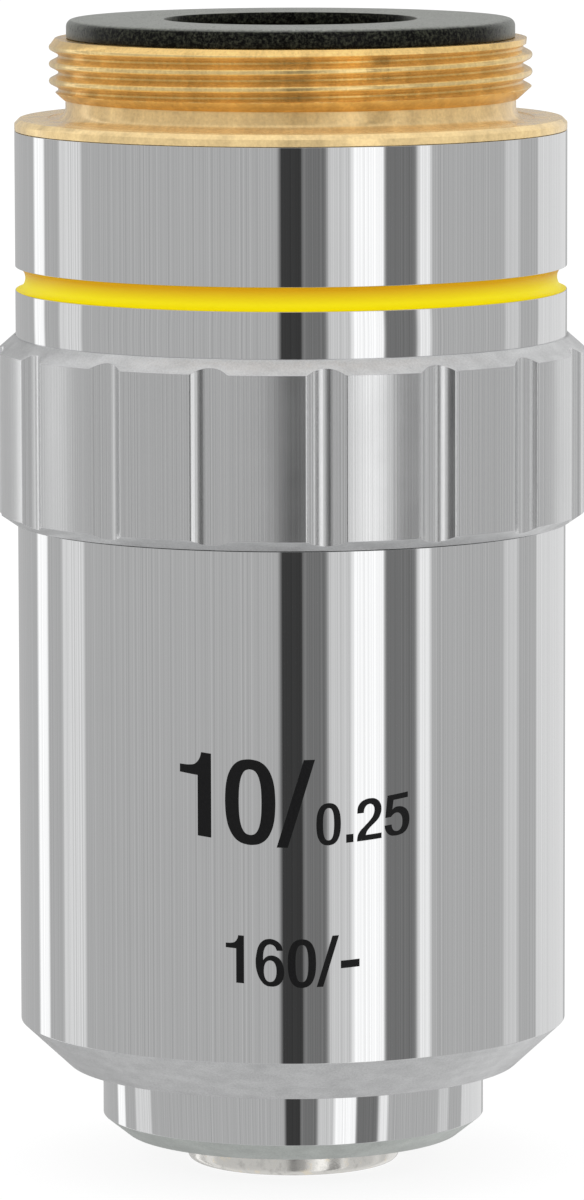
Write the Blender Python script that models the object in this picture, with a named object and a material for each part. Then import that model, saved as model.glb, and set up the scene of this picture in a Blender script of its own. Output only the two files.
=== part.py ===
"""Ten power microscope objective, standing on its front cell with the mounting thread up.

A brass mount with the screw spigot carries a chromed grip sleeve and a chromed barrel.
Inside them a body tube holds the stack of lens cells, and its nose shows below the barrel.
Heights run up from the rim of the front cell, and every turned piece shares the Z axis.
"""

import math

import bmesh
import bpy
from mathutils import Matrix, Vector

MM = 0.001

# Clearances
RADIAL_FIT = 0.05 * MM
SEAT_GAP = 0.02 * MM
CEMENT_GAP = 0.02 * MM
SEAM_GAP = 0.05 * MM
END_ROOM = 0.12 * MM

# Resolution of the turned pieces
SEGMENTS_PER_FLUTE = 4
CELL_SEGMENTS = 36
INNER_SEGMENTS = 20
GLASS_RINGS = 3
SCREW_SEGMENTS = 12
SHARP_ANGLE = math.radians(28.0)

# Lens stack, from the glass outwards
LENS_RADIUS = 5.2 * MM
LENS_CELL_WALL = 1.4 * MM
SEAT_LAND = 0.6 * MM
CELL_SEAT_HEIGHT = 0.9 * MM
CELL_TOP_ROOM = 0.5 * MM
RETAINER_LAND = 0.7 * MM
RETAINER_HEIGHT = 0.9 * MM
SPACER_WALL = 1.05 * MM
LOWER_SPACER_LENGTH = 2.5 * MM
MIDDLE_SPACER_LENGTH = 4.6 * MM
UPPER_SPACER_LENGTH = 2.0 * MM
STOP_DISC_THICKNESS = 0.5 * MM
STOP_DISC_HOLE = 3.9 * MM
LOCK_RING_THICKNESS = 1.6 * MM
LOCK_RING_WALL = 1.25 * MM
LOCK_SLOT_WIDTH = 1.2 * MM
LOCK_SLOT_DEPTH = 0.8 * MM

# Glass: edge thickness, and curves that are positive where the centre lies above the surface
FRONT_LENS_RADIUS = 3.8 * MM
FRONT_LENS_EDGE = 0.9 * MM
FRONT_LENS_LOWER_CURVE = 60.0 * MM
FRONT_LENS_UPPER_CURVE = -6.5 * MM
FRONT_CROWN_EDGE = 0.55 * MM
FRONT_FLINT_EDGE = 2.5 * MM
FRONT_CROWN_CURVE = 14.0 * MM
FRONT_CEMENT_CURVE = -10.0 * MM
FRONT_FLINT_CURVE = -38.0 * MM
REAR_CROWN_EDGE = 0.8 * MM
REAR_FLINT_EDGE = 2.25 * MM
REAR_CROWN_CURVE = 22.0 * MM
REAR_CEMENT_CURVE = -12.0 * MM
REAR_FLINT_CURVE = -60.0 * MM
FIELD_LENS_EDGE = 1.95 * MM
FIELD_LENS_LOWER_CURVE = -9.0 * MM
FIELD_LENS_UPPER_CURVE = -11.0 * MM

# Front cell
CELL_NECK_WALL = 0.65 * MM
CELL_PROJECTION = 1.24 * MM
CELL_RIM_ROUND = 0.3 * MM
CELL_RIM_LAND = 0.35 * MM
CELL_MOUTH_DEPTH = 0.45 * MM
CELL_SEAT_DEPTH = 0.75 * MM
CELL_FLANGE_LENGTH = 3.4 * MM
CELL_EXIT_FLARE = 1.3 * MM

# Body tube and its nose
NOSE_WALL = 1.38 * MM
NOSE_LENGTH = 3.03 * MM
NOSE_CHAMFER_WIDTH = 0.98 * MM
NOSE_CHAMFER_HEIGHT = 0.78 * MM
NOSE_FLOOR = 1.0 * MM
UPPER_TUBE_WALL = 2.2 * MM
BODY_TUBE_STEP = 0.5 * MM

# Barrel with the markings
BARREL_WALL = 2.1 * MM
BARREL_LENGTH = 23.03 * MM
BARREL_FLOOR = 1.2 * MM
CONE_WIDTH = 1.99 * MM
CONE_HEIGHT = 1.85 * MM
JOINT_SPIGOT_WALL = 1.3 * MM
JOINT_SPIGOT_LENGTH = 4.2 * MM

# Grip sleeve
SLEEVE_STEP = 0.05 * MM
SLEEVE_LENGTH = 16.45 * MM
SLEEVE_LAND_ROOM = 0.5 * MM
GRIP_STAND = 0.78 * MM
GRIP_LENGTH = 7.84 * MM
GRIP_FOOT_WIDTH = 0.63 * MM
GRIP_FOOT_HEIGHT = 0.43 * MM
GRIP_CROWN_LAND = 0.1 * MM
GRIP_CROWN_HEIGHT = 0.6 * MM
FLUTE_COUNT = 15
FLUTE_RADIUS = 1.06 * MM
FLUTE_DEPTH = 0.3 * MM
FLUTE_START = math.radians(14.0)
FLUTE_SEGMENTS = 16

# Colour ring
GROOVE_RADIUS = 0.5 * MM
GROOVE_HEIGHT = 10.27 * MM
GROOVE_STEPS = 6
ENAMEL_THICKNESS = 0.1 * MM

# Mount
THREAD_RADIUS = 10.135 * MM
THREAD_LENGTH = 3.35 * MM
THREAD_CHAMFER = 0.25 * MM
NECK_RELIEF = 0.685 * MM
NECK_LENGTH = 0.8 * MM
NECK_FILLET = 0.35 * MM
SHOULDER_RELIEF = 0.04 * MM
NECK_WALL = 1.1 * MM
FLANGE_THICKNESS = 0.49 * MM
FLANGE_CHAMFER = 0.2 * MM
MOUNT_SPIGOT_WALL = 1.65 * MM
MOUNT_SPIGOT_LENGTH = 8.8 * MM
MOUNT_SOCKET_DEPTH = 7.0 * MM
PARFOCAL_RING_THICKNESS = 0.8 * MM

# Rear stop ring
STOP_SETBACK = 0.725 * MM
STOP_HEIGHT = 0.77 * MM
STOP_RIM_ROUND = 0.25 * MM
STOP_HOLE_RADIUS = 5.3 * MM
STOP_PLUG_SEAT = 0.75 * MM
STOP_PLUG_LENGTH = 1.6 * MM
STOP_LIP = 0.45 * MM
STOP_FLARE = 1.5 * MM

# Grub screws in the mount
GRUB_COUNT = 3
GRUB_RADIUS = 0.8 * MM
GRUB_LENGTH = 1.5 * MM
GRUB_POINT = 0.3 * MM
GRUB_SLOT_WIDTH = 0.3 * MM
GRUB_SLOT_DEPTH = 0.4 * MM
GRUB_HEIGHT = 3.4 * MM

# Radii that follow from the walls
STACK_RADIUS = LENS_RADIUS + RADIAL_FIT + LENS_CELL_WALL
STACK_BORE = STACK_RADIUS + RADIAL_FIT
CELL_RADIUS = FRONT_LENS_RADIUS + RADIAL_FIT + CELL_NECK_WALL
NOSE_RADIUS = STACK_BORE + NOSE_WALL
UPPER_TUBE_RADIUS = STACK_BORE + UPPER_TUBE_WALL
BODY_TUBE_RADIUS = UPPER_TUBE_RADIUS + BODY_TUBE_STEP
BARREL_BORE = BODY_TUBE_RADIUS + RADIAL_FIT
BARREL_RADIUS = BARREL_BORE + BARREL_WALL
JOINT_SPIGOT_RADIUS = BARREL_BORE + JOINT_SPIGOT_WALL
SLEEVE_RADIUS = BARREL_RADIUS + SLEEVE_STEP
GRIP_RADIUS = SLEEVE_RADIUS + GRIP_STAND
MOUNT_SPIGOT_RADIUS = UPPER_TUBE_RADIUS + RADIAL_FIT + MOUNT_SPIGOT_WALL
NECK_RADIUS = THREAD_RADIUS - NECK_RELIEF
STOP_RADIUS = THREAD_RADIUS - STOP_SETBACK
STOP_PLUG_RADIUS = NECK_RADIUS - NECK_WALL
LIGHT_BORE_RADIUS = STOP_PLUG_RADIUS - STOP_PLUG_SEAT

# Heights that follow from the lengths
NOSE_FACE = CELL_PROJECTION
NOSE_FLOOR_TOP = NOSE_FACE + NOSE_FLOOR
BARREL_FACE = NOSE_FACE + NOSE_LENGTH
BARREL_FLOOR_TOP = BARREL_FACE + BARREL_FLOOR
BARREL_TOP = BARREL_FACE + BARREL_LENGTH
SLEEVE_FOOT = BARREL_TOP + SEAM_GAP
SLEEVE_TOP = SLEEVE_FOOT + SLEEVE_LENGTH
FLANGE_FOOT = SLEEVE_TOP + SEAT_GAP
SHOULDER = FLANGE_FOOT + FLANGE_THICKNESS
MOUNT_TOP = SHOULDER + THREAD_LENGTH
MOUNT_FOOT = FLANGE_FOOT - MOUNT_SPIGOT_LENGTH
PARFOCAL_TOP = MOUNT_FOOT - SEAT_GAP
PARFOCAL_FOOT = PARFOCAL_TOP - PARFOCAL_RING_THICKNESS
BODY_SHOULDER = PARFOCAL_FOOT - SEAT_GAP
STOP_FOOT = MOUNT_TOP + SEAT_GAP
OUTER_SEGMENTS = SEGMENTS_PER_FLUTE * FLUTE_COUNT

# Finishes: colour, metallic, roughness
CHROME = ((0.78, 0.79, 0.80), 1.0, 0.06)
SATIN_CHROME = ((0.62, 0.63, 0.64), 1.0, 0.28)
BARE_BRASS = ((0.72, 0.50, 0.24), 1.0, 0.32)
BLACK_ANODISED = ((0.035, 0.036, 0.038), 0.0, 0.45)
BLACKENED_BRASS = ((0.03, 0.028, 0.026), 0.6, 0.55)
YELLOW_ENAMEL = ((0.95, 0.66, 0.03), 0.0, 0.25)
COATED_GLASS = ((0.55, 0.62, 0.70), 0.0, 0.03)
SCREW_STEEL = ((0.40, 0.40, 0.41), 1.0, 0.35)


def clear_scene():
    for obj in list(bpy.data.objects):
        bpy.data.objects.remove(obj, do_unlink=True)


def give_material(obj, finish):
    colour, metallic, roughness = finish
    material = bpy.data.materials.new(obj.name + "_finish")
    material.use_nodes = True
    shader = material.node_tree.nodes["Principled BSDF"]
    shader.inputs["Base Color"].default_value = (*colour, 1.0)
    shader.inputs["Metallic"].default_value = metallic
    shader.inputs["Roughness"].default_value = roughness
    obj.data.materials.clear()
    obj.data.materials.append(material)


def link_mesh(name, bm):
    mesh = bpy.data.meshes.new(name)
    bm.to_mesh(mesh)
    bm.free()
    obj = bpy.data.objects.new(name, mesh)
    bpy.context.scene.collection.objects.link(obj)
    return obj


def shade(obj):
    obj.data.shade_smooth()
    obj.data.set_sharp_from_angle(angle=SHARP_ANGLE)


def turned(name, profile, segments, finish, start=FLUTE_START):
    """Turn a closed outline of (radius, height) points about the Z axis into one solid."""
    bm = bmesh.new()
    spin_start = Matrix.Rotation(start, 3, "Z")
    points = [bm.verts.new(spin_start @ Vector((radius, 0.0, height))) for radius, height in profile]
    outline = [bm.edges.new(pair) for pair in zip(points, points[1:])]
    if profile[0][0] > 0.0:
        outline.append(bm.edges.new((points[-1], points[0])))
    bmesh.ops.spin(
        bm, geom=points + outline, cent=(0.0, 0.0, 0.0), axis=(0.0, 0.0, 1.0), dvec=(0.0, 0.0, 0.0),
        angle=math.tau, steps=segments, use_merge=True, use_normal_flip=False, use_duplicate=False)
    bmesh.ops.remove_doubles(bm, verts=bm.verts, dist=0.0005 * MM)
    bmesh.ops.recalc_face_normals(bm, faces=bm.faces)
    obj = link_mesh(name, bm)
    shade(obj)
    give_material(obj, finish)
    return obj


def arc(centre, radius, start_degrees, end_degrees, steps):
    """Points of a round stretch of an outline, both ends included."""
    centre_radius, centre_height = centre
    points = []
    for step in range(steps + 1):
        angle = math.radians(start_degrees + (end_degrees - start_degrees) * step / steps)
        points.append((centre_radius + radius * math.cos(angle), centre_height + radius * math.sin(angle)))
    return points


def sag(curve, radius):
    """How far above its vertex a spherical surface lies at this radius."""
    depth = abs(curve) - math.sqrt(curve * curve - radius * radius)
    return math.copysign(depth, curve)


def surface(vertex, curve, rim):
    """Outline of a lens surface from the axis out to its rim."""
    radii = [rim * ring / GLASS_RINGS for ring in range(GLASS_RINGS + 1)]
    return [(radius, vertex + sag(curve, radius)) for radius in radii]


def lens(name, vertex, edge, lower_curve, upper_curve, rim):
    """One lens of the given edge thickness. Returns the height of its upper vertex."""
    upper_vertex = vertex + edge + sag(lower_curve, rim) - sag(upper_curve, rim)
    lower = surface(vertex, lower_curve, rim)
    upper = surface(upper_vertex, upper_curve, rim)
    turned(name, lower + upper[::-1], INNER_SEGMENTS, COATED_GLASS)
    return upper_vertex


def tube(name, foot, length, outer, inner, segments, finish):
    """Plain ring or tube between two radii."""
    top = foot + length
    return turned(name, [(inner, foot), (outer, foot), (outer, top), (inner, top)], segments, finish)


def make_cutter(name, bm):
    """A hidden cutting shape, left out of the finished part."""
    bmesh.ops.recalc_face_normals(bm, faces=bm.faces)
    cutter = link_mesh(name, bm)
    cutter.hide_render = True
    cutter.display_type = "WIRE"
    return cutter


def cut(obj, cutter):
    """Take the cutter's volume out of the piece, and shade what is left."""
    boolean = obj.modifiers.new("cut_" + cutter.name, "BOOLEAN")
    boolean.operation = "DIFFERENCE"
    boolean.solver = "EXACT"
    boolean.object = cutter
    graph = bpy.context.evaluated_depsgraph_get()
    uncut = obj.data
    obj.data = bpy.data.meshes.new_from_object(obj.evaluated_get(graph))
    obj.modifiers.clear()
    bpy.data.meshes.remove(uncut)
    bpy.data.objects.remove(cutter, do_unlink=True)
    obj.data.name = obj.name
    shade(obj)


def add_box(bm, size, place):
    """A box of the given size, moved and turned by the place matrix."""
    bmesh.ops.create_cube(bm, size=1.0, matrix=place @ Matrix.Diagonal((*size, 1.0)))


def add_rod(bm, radius, length, segments, place):
    bmesh.ops.create_cone(
        bm, cap_ends=True, cap_tris=False, segments=segments, radius1=radius, radius2=radius,
        depth=length, matrix=place)


def rear_stop_ring():
    """Black ring screwed into the mount, with a rounded rim and a hole that flares inwards."""
    top = STOP_FOOT + STOP_HEIGHT
    plug_foot = STOP_FOOT - STOP_PLUG_LENGTH
    rim = arc((STOP_RADIUS - STOP_RIM_ROUND, top - STOP_RIM_ROUND), STOP_RIM_ROUND, 0.0, 90.0, 3)
    profile = [
        (STOP_HOLE_RADIUS + STOP_FLARE, plug_foot),
        (STOP_PLUG_RADIUS, plug_foot),
        (STOP_PLUG_RADIUS, STOP_FOOT),
        (STOP_RADIUS, STOP_FOOT),
        *rim,
        (STOP_HOLE_RADIUS, top),
        (STOP_HOLE_RADIUS, top - STOP_LIP),
    ]
    turned("rear_stop_ring", profile, OUTER_SEGMENTS, BLACK_ANODISED)


def grub_place(index):
    """Where a grub screw's axis crosses the mount's spigot, pointing outwards."""
    turn = Matrix.Rotation(FLUTE_START + math.tau * index / GRUB_COUNT, 4, "Z")
    lift = Matrix.Translation((0.0, 0.0, MOUNT_FOOT + GRUB_HEIGHT))
    return turn @ lift @ Matrix.Rotation(math.pi / 2.0, 4, "Y")


def thread_mount():
    """Brass mount: screw spigot, relief neck and shoulder flange above, a long spigot below."""
    plug_seat = STOP_FOOT - STOP_PLUG_LENGTH - END_ROOM
    relief = SHOULDER - SHOULDER_RELIEF
    profile = [
        (UPPER_TUBE_RADIUS + RADIAL_FIT, MOUNT_FOOT),
        (MOUNT_SPIGOT_RADIUS, MOUNT_FOOT),
        (MOUNT_SPIGOT_RADIUS, FLANGE_FOOT),
        (SLEEVE_RADIUS, FLANGE_FOOT),
        (SLEEVE_RADIUS, SHOULDER - FLANGE_CHAMFER),
        (SLEEVE_RADIUS - FLANGE_CHAMFER, SHOULDER),
        (THREAD_RADIUS + 2.0 * RADIAL_FIT, SHOULDER),
        (THREAD_RADIUS + RADIAL_FIT, relief),
        *arc((NECK_RADIUS + NECK_FILLET, relief + NECK_FILLET), NECK_FILLET, 270.0, 180.0, 2),
        (NECK_RADIUS, SHOULDER + NECK_LENGTH),
        (THREAD_RADIUS, SHOULDER + NECK_LENGTH),
        (THREAD_RADIUS, MOUNT_TOP - THREAD_CHAMFER),
        (THREAD_RADIUS - THREAD_CHAMFER, MOUNT_TOP),
        (STOP_PLUG_RADIUS + RADIAL_FIT, MOUNT_TOP),
        (STOP_PLUG_RADIUS + RADIAL_FIT, plug_seat),
        (LIGHT_BORE_RADIUS, plug_seat),
        (LIGHT_BORE_RADIUS, MOUNT_FOOT + MOUNT_SOCKET_DEPTH),
        (UPPER_TUBE_RADIUS + RADIAL_FIT, MOUNT_FOOT + MOUNT_SOCKET_DEPTH),
    ]
    mount = turned("thread_mount", profile, OUTER_SEGMENTS, BARE_BRASS)
    holes = bmesh.new()
    inner_end = UPPER_TUBE_RADIUS - GRUB_RADIUS
    outer_end = MOUNT_SPIGOT_RADIUS + GRUB_RADIUS
    middle = Matrix.Translation((0.0, 0.0, (inner_end + outer_end) / 2.0))
    for index in range(GRUB_COUNT):
        add_rod(
            holes, GRUB_RADIUS + RADIAL_FIT, outer_end - inner_end, SCREW_SEGMENTS,
            grub_place(index) @ middle)
    cut(mount, make_cutter("grub_holes", holes))


def grub_screws():
    """Slotted screws that hold the body tube in the mount, under the grip sleeve."""
    for index in range(GRUB_COUNT):
        profile = [
            (0.0, 0.0),
            (GRUB_RADIUS - GRUB_POINT, 0.0),
            (GRUB_RADIUS, GRUB_POINT),
            (GRUB_RADIUS, GRUB_LENGTH),
            (0.0, GRUB_LENGTH),
        ]
        screw = turned("grub_screw_%d" % (index + 1), profile, SCREW_SEGMENTS, SCREW_STEEL, start=0.0)
        slot = bmesh.new()
        lift = Matrix.Translation((0.0, 0.0, GRUB_LENGTH))
        add_box(slot, (GRUB_RADIUS * 3.0, GRUB_SLOT_WIDTH, GRUB_SLOT_DEPTH * 2.0), lift)
        cut(screw, make_cutter("grub_slot", slot))
        tip = Matrix.Translation((0.0, 0.0, UPPER_TUBE_RADIUS + SEAT_GAP))
        screw.matrix_world = grub_place(index) @ tip


def groove_arc(radius, skipped_steps):
    """Outline of the colour groove, or of a layer in it, from its lower lip to its upper lip."""
    centre = (SLEEVE_RADIUS, SLEEVE_FOOT + GROOVE_HEIGHT)
    step = 180.0 / GROOVE_STEPS
    start = 270.0 - step * skipped_steps
    end = 90.0 + step * skipped_steps
    return arc(centre, radius, start, end, GROOVE_STEPS - 2 * skipped_steps)


def colour_ring():
    """Layer of enamel that lines the round groove."""
    hidden = groove_arc(GROOVE_RADIUS - SEAT_GAP, 1)
    shown = groove_arc(GROOVE_RADIUS - SEAT_GAP - ENAMEL_THICKNESS, 1)
    turned("colour_ring", hidden + shown[::-1], OUTER_SEGMENTS, YELLOW_ENAMEL)


def grip_sleeve():
    """Chromed sleeve with the colour groove and the fluted grip, turned from one blank."""
    spigot_room = BARREL_TOP + JOINT_SPIGOT_LENGTH + END_ROOM
    mount_room = MOUNT_FOOT - END_ROOM
    grip_crown = SLEEVE_FOOT + GRIP_LENGTH
    profile = [
        (JOINT_SPIGOT_RADIUS + RADIAL_FIT, SLEEVE_FOOT),
        (GRIP_RADIUS - GRIP_FOOT_WIDTH, SLEEVE_FOOT),
        (GRIP_RADIUS, SLEEVE_FOOT + GRIP_FOOT_HEIGHT),
        (GRIP_RADIUS, grip_crown - GRIP_CROWN_HEIGHT),
        (SLEEVE_RADIUS + GRIP_CROWN_LAND, grip_crown),
        (SLEEVE_RADIUS, grip_crown),
        *groove_arc(GROOVE_RADIUS, 0),
        (SLEEVE_RADIUS, SLEEVE_TOP),
        (MOUNT_SPIGOT_RADIUS + RADIAL_FIT, SLEEVE_TOP),
        (MOUNT_SPIGOT_RADIUS + RADIAL_FIT, mount_room),
        (BODY_TUBE_RADIUS + SLEEVE_LAND_ROOM, mount_room),
        (BODY_TUBE_RADIUS + SLEEVE_LAND_ROOM, spigot_room),
        (JOINT_SPIGOT_RADIUS + RADIAL_FIT, spigot_room),
    ]
    sleeve = turned("grip_sleeve", profile, OUTER_SEGMENTS, CHROME)
    flutes = bmesh.new()
    axis_radius = GRIP_RADIUS - FLUTE_DEPTH + FLUTE_RADIUS
    mid_height = SLEEVE_FOOT + GRIP_LENGTH / 2.0
    for index in range(FLUTE_COUNT):
        turn = Matrix.Rotation(FLUTE_START + math.tau * index / FLUTE_COUNT, 4, "Z")
        place = turn @ Matrix.Translation((axis_radius, 0.0, mid_height))
        add_rod(flutes, FLUTE_RADIUS, GRIP_LENGTH + 2.0 * FLUTE_RADIUS, FLUTE_SEGMENTS, place)
    cut(sleeve, make_cutter("flutes", flutes))


def marked_barrel():
    """Chromed barrel with a cone at its foot, screwed up into the grip sleeve."""
    spigot_top = BARREL_TOP + JOINT_SPIGOT_LENGTH
    profile = [
        (NOSE_RADIUS + RADIAL_FIT, BARREL_FACE),
        (BARREL_RADIUS - CONE_WIDTH, BARREL_FACE),
        (BARREL_RADIUS, BARREL_FACE + CONE_HEIGHT),
        (BARREL_RADIUS, BARREL_TOP),
        (JOINT_SPIGOT_RADIUS, BARREL_TOP),
        (JOINT_SPIGOT_RADIUS, spigot_top),
        (BARREL_BORE, spigot_top),
        (BARREL_BORE, BARREL_FLOOR_TOP),
        (NOSE_RADIUS + RADIAL_FIT, BARREL_FLOOR_TOP),
    ]
    turned("marked_barrel", profile, OUTER_SEGMENTS, CHROME)


def body_tube():
    """Inner tube with the chromed nose: it hangs on the barrel's floor and holds the cells."""
    top = MOUNT_FOOT + MOUNT_SOCKET_DEPTH - END_ROOM
    profile = [
        (CELL_RADIUS + RADIAL_FIT, NOSE_FACE),
        (NOSE_RADIUS - NOSE_CHAMFER_WIDTH, NOSE_FACE),
        (NOSE_RADIUS, NOSE_FACE + NOSE_CHAMFER_HEIGHT),
        (NOSE_RADIUS, BARREL_FLOOR_TOP + SEAT_GAP),
        (BODY_TUBE_RADIUS, BARREL_FLOOR_TOP + SEAT_GAP),
        (BODY_TUBE_RADIUS, BODY_SHOULDER),
        (UPPER_TUBE_RADIUS, BODY_SHOULDER),
        (UPPER_TUBE_RADIUS, top),
        (STACK_BORE, top),
        (STACK_BORE, NOSE_FLOOR_TOP),
        (CELL_RADIUS + RADIAL_FIT, NOSE_FLOOR_TOP),
    ]
    turned("body_tube", profile, OUTER_SEGMENTS, SATIN_CHROME)


def parfocal_ring():
    """Spacing ring between the body tube's shoulder and the mount, which sets the focus height."""
    tube(
        "parfocal_ring", PARFOCAL_FOOT, PARFOCAL_RING_THICKNESS, BODY_TUBE_RADIUS,
        UPPER_TUBE_RADIUS + RADIAL_FIT, CELL_SEGMENTS, BARE_BRASS)


def retainer(name, lens_top_vertex, upper_curve, rim):
    """Threaded ring that bears on a lens near its rim. Returns the height of its top face."""
    inner = rim - RETAINER_LAND
    foot = lens_top_vertex + max(sag(upper_curve, inner), sag(upper_curve, rim)) + SEAT_GAP
    tube(name, foot, RETAINER_HEIGHT, rim, inner, INNER_SEGMENTS, BLACKENED_BRASS)
    return foot + RETAINER_HEIGHT


def seated_vertex(seat, seat_radius, lower_curve, rim):
    """Height of a lens's lower vertex when the lens lies on its seat."""
    return seat + SEAT_GAP - min(sag(lower_curve, seat_radius), sag(lower_curve, rim))


def front_group():
    """Front cell with its lens and retainer. Returns the height of the cell's top face."""
    flange_foot = NOSE_FLOOR_TOP + SEAT_GAP
    top = flange_foot + CELL_FLANGE_LENGTH
    rim_inner = CELL_RADIUS - CELL_RIM_ROUND - CELL_RIM_LAND
    lens_bore = FRONT_LENS_RADIUS + RADIAL_FIT
    seat_radius = FRONT_LENS_RADIUS - SEAT_LAND
    profile = [
        (rim_inner, 0.0),
        *arc((CELL_RADIUS - CELL_RIM_ROUND, CELL_RIM_ROUND), CELL_RIM_ROUND, 270.0, 360.0, 3),
        (CELL_RADIUS, flange_foot),
        (STACK_RADIUS, flange_foot),
        (STACK_RADIUS, top),
        (lens_bore + CELL_EXIT_FLARE, top),
        (lens_bore, top - CELL_EXIT_FLARE),
        (lens_bore, CELL_SEAT_DEPTH),
        (seat_radius, CELL_SEAT_DEPTH),
        (seat_radius, CELL_MOUTH_DEPTH),
    ]
    turned("front_cell", profile, CELL_SEGMENTS, CHROME)
    vertex = seated_vertex(CELL_SEAT_DEPTH, seat_radius, FRONT_LENS_LOWER_CURVE, FRONT_LENS_RADIUS)
    vertex = lens(
        "front_lens", vertex, FRONT_LENS_EDGE, FRONT_LENS_LOWER_CURVE, FRONT_LENS_UPPER_CURVE,
        FRONT_LENS_RADIUS)
    retainer("front_retainer", vertex, FRONT_LENS_UPPER_CURVE, FRONT_LENS_RADIUS)
    return top


def lens_cell(name, foot, top):
    """Blackened cell with a stepped bore, whose step is the seat of the lens."""
    seat = foot + CELL_SEAT_HEIGHT
    profile = [
        (LENS_RADIUS - SEAT_LAND, foot),
        (STACK_RADIUS, foot),
        (STACK_RADIUS, top),
        (LENS_RADIUS + RADIAL_FIT, top),
        (LENS_RADIUS + RADIAL_FIT, seat),
        (LENS_RADIUS - SEAT_LAND, seat),
    ]
    turned(name, profile, INNER_SEGMENTS, BLACKENED_BRASS)


def lowest_vertex(foot, lower_curve):
    return seated_vertex(foot + CELL_SEAT_HEIGHT, LENS_RADIUS - SEAT_LAND, lower_curve, LENS_RADIUS)


def doublet_group(side, foot, crown_edge, flint_edge, lower, cemented, upper):
    """Cell with a crown and a flint lens cemented together. Returns the height of the cell's top."""
    vertex = lowest_vertex(foot, lower)
    vertex = lens(side + "_doublet_crown", vertex, crown_edge, lower, cemented, LENS_RADIUS)
    vertex = lens(
        side + "_doublet_flint", vertex + CEMENT_GAP, flint_edge, cemented, upper, LENS_RADIUS)
    top = CELL_TOP_ROOM + retainer(side + "_doublet_retainer", vertex, upper, LENS_RADIUS)
    lens_cell(side + "_doublet_cell", foot, top)
    return top


def spacer(name, foot, length):
    tube(name, foot, length, STACK_RADIUS, STACK_RADIUS - SPACER_WALL, INNER_SEGMENTS, BLACKENED_BRASS)
    return foot + length


def aperture_disc(foot):
    """Thin disc whose hole comes to an edge, which limits the cone of light."""
    top = foot + STOP_DISC_THICKNESS
    profile = [
        (STOP_DISC_HOLE + STOP_DISC_THICKNESS, foot),
        (STACK_RADIUS, foot),
        (STACK_RADIUS, top),
        (STOP_DISC_HOLE, top),
    ]
    turned("aperture_disc", profile, INNER_SEGMENTS, BLACKENED_BRASS)
    return top


def field_group(foot):
    """Rear cell with the thick meniscus that flattens the field. Returns the cell's top."""
    vertex = lowest_vertex(foot, FIELD_LENS_LOWER_CURVE)
    vertex = lens(
        "field_lens", vertex, FIELD_LENS_EDGE, FIELD_LENS_LOWER_CURVE, FIELD_LENS_UPPER_CURVE,
        LENS_RADIUS)
    top = CELL_TOP_ROOM + retainer("field_lens_retainer", vertex, FIELD_LENS_UPPER_CURVE, LENS_RADIUS)
    lens_cell("field_lens_cell", foot, top)
    return top


def stack_lock_ring(foot):
    """Threaded ring with a spanner slot, which locks the whole stack in the body tube."""
    inner = STACK_RADIUS - LOCK_RING_WALL
    tube(
        "stack_lock_ring", foot, LOCK_RING_THICKNESS, STACK_RADIUS, inner, INNER_SEGMENTS, BLACKENED_BRASS)
    slot = bmesh.new()
    lift = Matrix.Translation((0.0, 0.0, foot + LOCK_RING_THICKNESS))
    add_box(slot, (STACK_RADIUS * 3.0, LOCK_SLOT_WIDTH, LOCK_SLOT_DEPTH * 2.0), lift)
    cut(bpy.data.objects["stack_lock_ring"], make_cutter("lock_slot", slot))


def lens_stack():
    """Everything that drops into the body tube, from the front cell up."""
    height = front_group() + SEAT_GAP
    height = spacer("lower_spacer", height, LOWER_SPACER_LENGTH) + SEAT_GAP
    height = SEAT_GAP + doublet_group(
        "front", height, FRONT_CROWN_EDGE, FRONT_FLINT_EDGE, FRONT_CROWN_CURVE,
        FRONT_CEMENT_CURVE, FRONT_FLINT_CURVE)
    height = aperture_disc(height) + SEAT_GAP
    height = spacer("middle_spacer", height, MIDDLE_SPACER_LENGTH) + SEAT_GAP
    height = SEAT_GAP + doublet_group(
        "rear", height, REAR_CROWN_EDGE, REAR_FLINT_EDGE, REAR_CROWN_CURVE,
        REAR_CEMENT_CURVE, REAR_FLINT_CURVE)
    height = spacer("upper_spacer", height, UPPER_SPACER_LENGTH) + SEAT_GAP
    height = field_group(height) + SEAT_GAP
    stack_lock_ring(height)


clear_scene()
rear_stop_ring()
thread_mount()
grub_screws()
parfocal_ring()
grip_sleeve()
colour_ring()
marked_barrel()
body_tube()
lens_stack()
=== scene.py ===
"""Finish of a ten power microscope objective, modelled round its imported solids.

Each turned piece is spun from a rounded outline. The screw thread and the flutes are cut into
them, the numbers are wrapped round the barrel, and every surface gets a procedural finish.
Lengths are in metres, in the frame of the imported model, in which the objective stands on its tip.
"""

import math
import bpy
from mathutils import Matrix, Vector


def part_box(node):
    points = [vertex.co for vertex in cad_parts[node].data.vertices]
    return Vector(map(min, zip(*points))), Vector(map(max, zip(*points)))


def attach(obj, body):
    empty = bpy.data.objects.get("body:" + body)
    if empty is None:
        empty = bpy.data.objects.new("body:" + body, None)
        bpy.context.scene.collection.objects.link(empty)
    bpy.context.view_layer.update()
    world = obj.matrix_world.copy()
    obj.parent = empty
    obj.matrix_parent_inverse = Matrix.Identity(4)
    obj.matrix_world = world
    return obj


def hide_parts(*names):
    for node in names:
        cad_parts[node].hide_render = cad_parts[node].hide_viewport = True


bl_info = {
    "name": "Microscope Objective Finish",
    "version": (1, 1, 0),
    "blender": (4, 5, 0),
    "location": "View3D > Sidebar > Objective",
    "description": "Models the threaded, fluted and polished surfaces of the objective, and its studio",
    "category": "Add Mesh",
}

import bmesh
import bpy
import numpy as np
from bpy.props import FloatProperty, FloatVectorProperty, IntProperty, PointerProperty
from mathutils import Matrix

MM = 0.001

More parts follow.
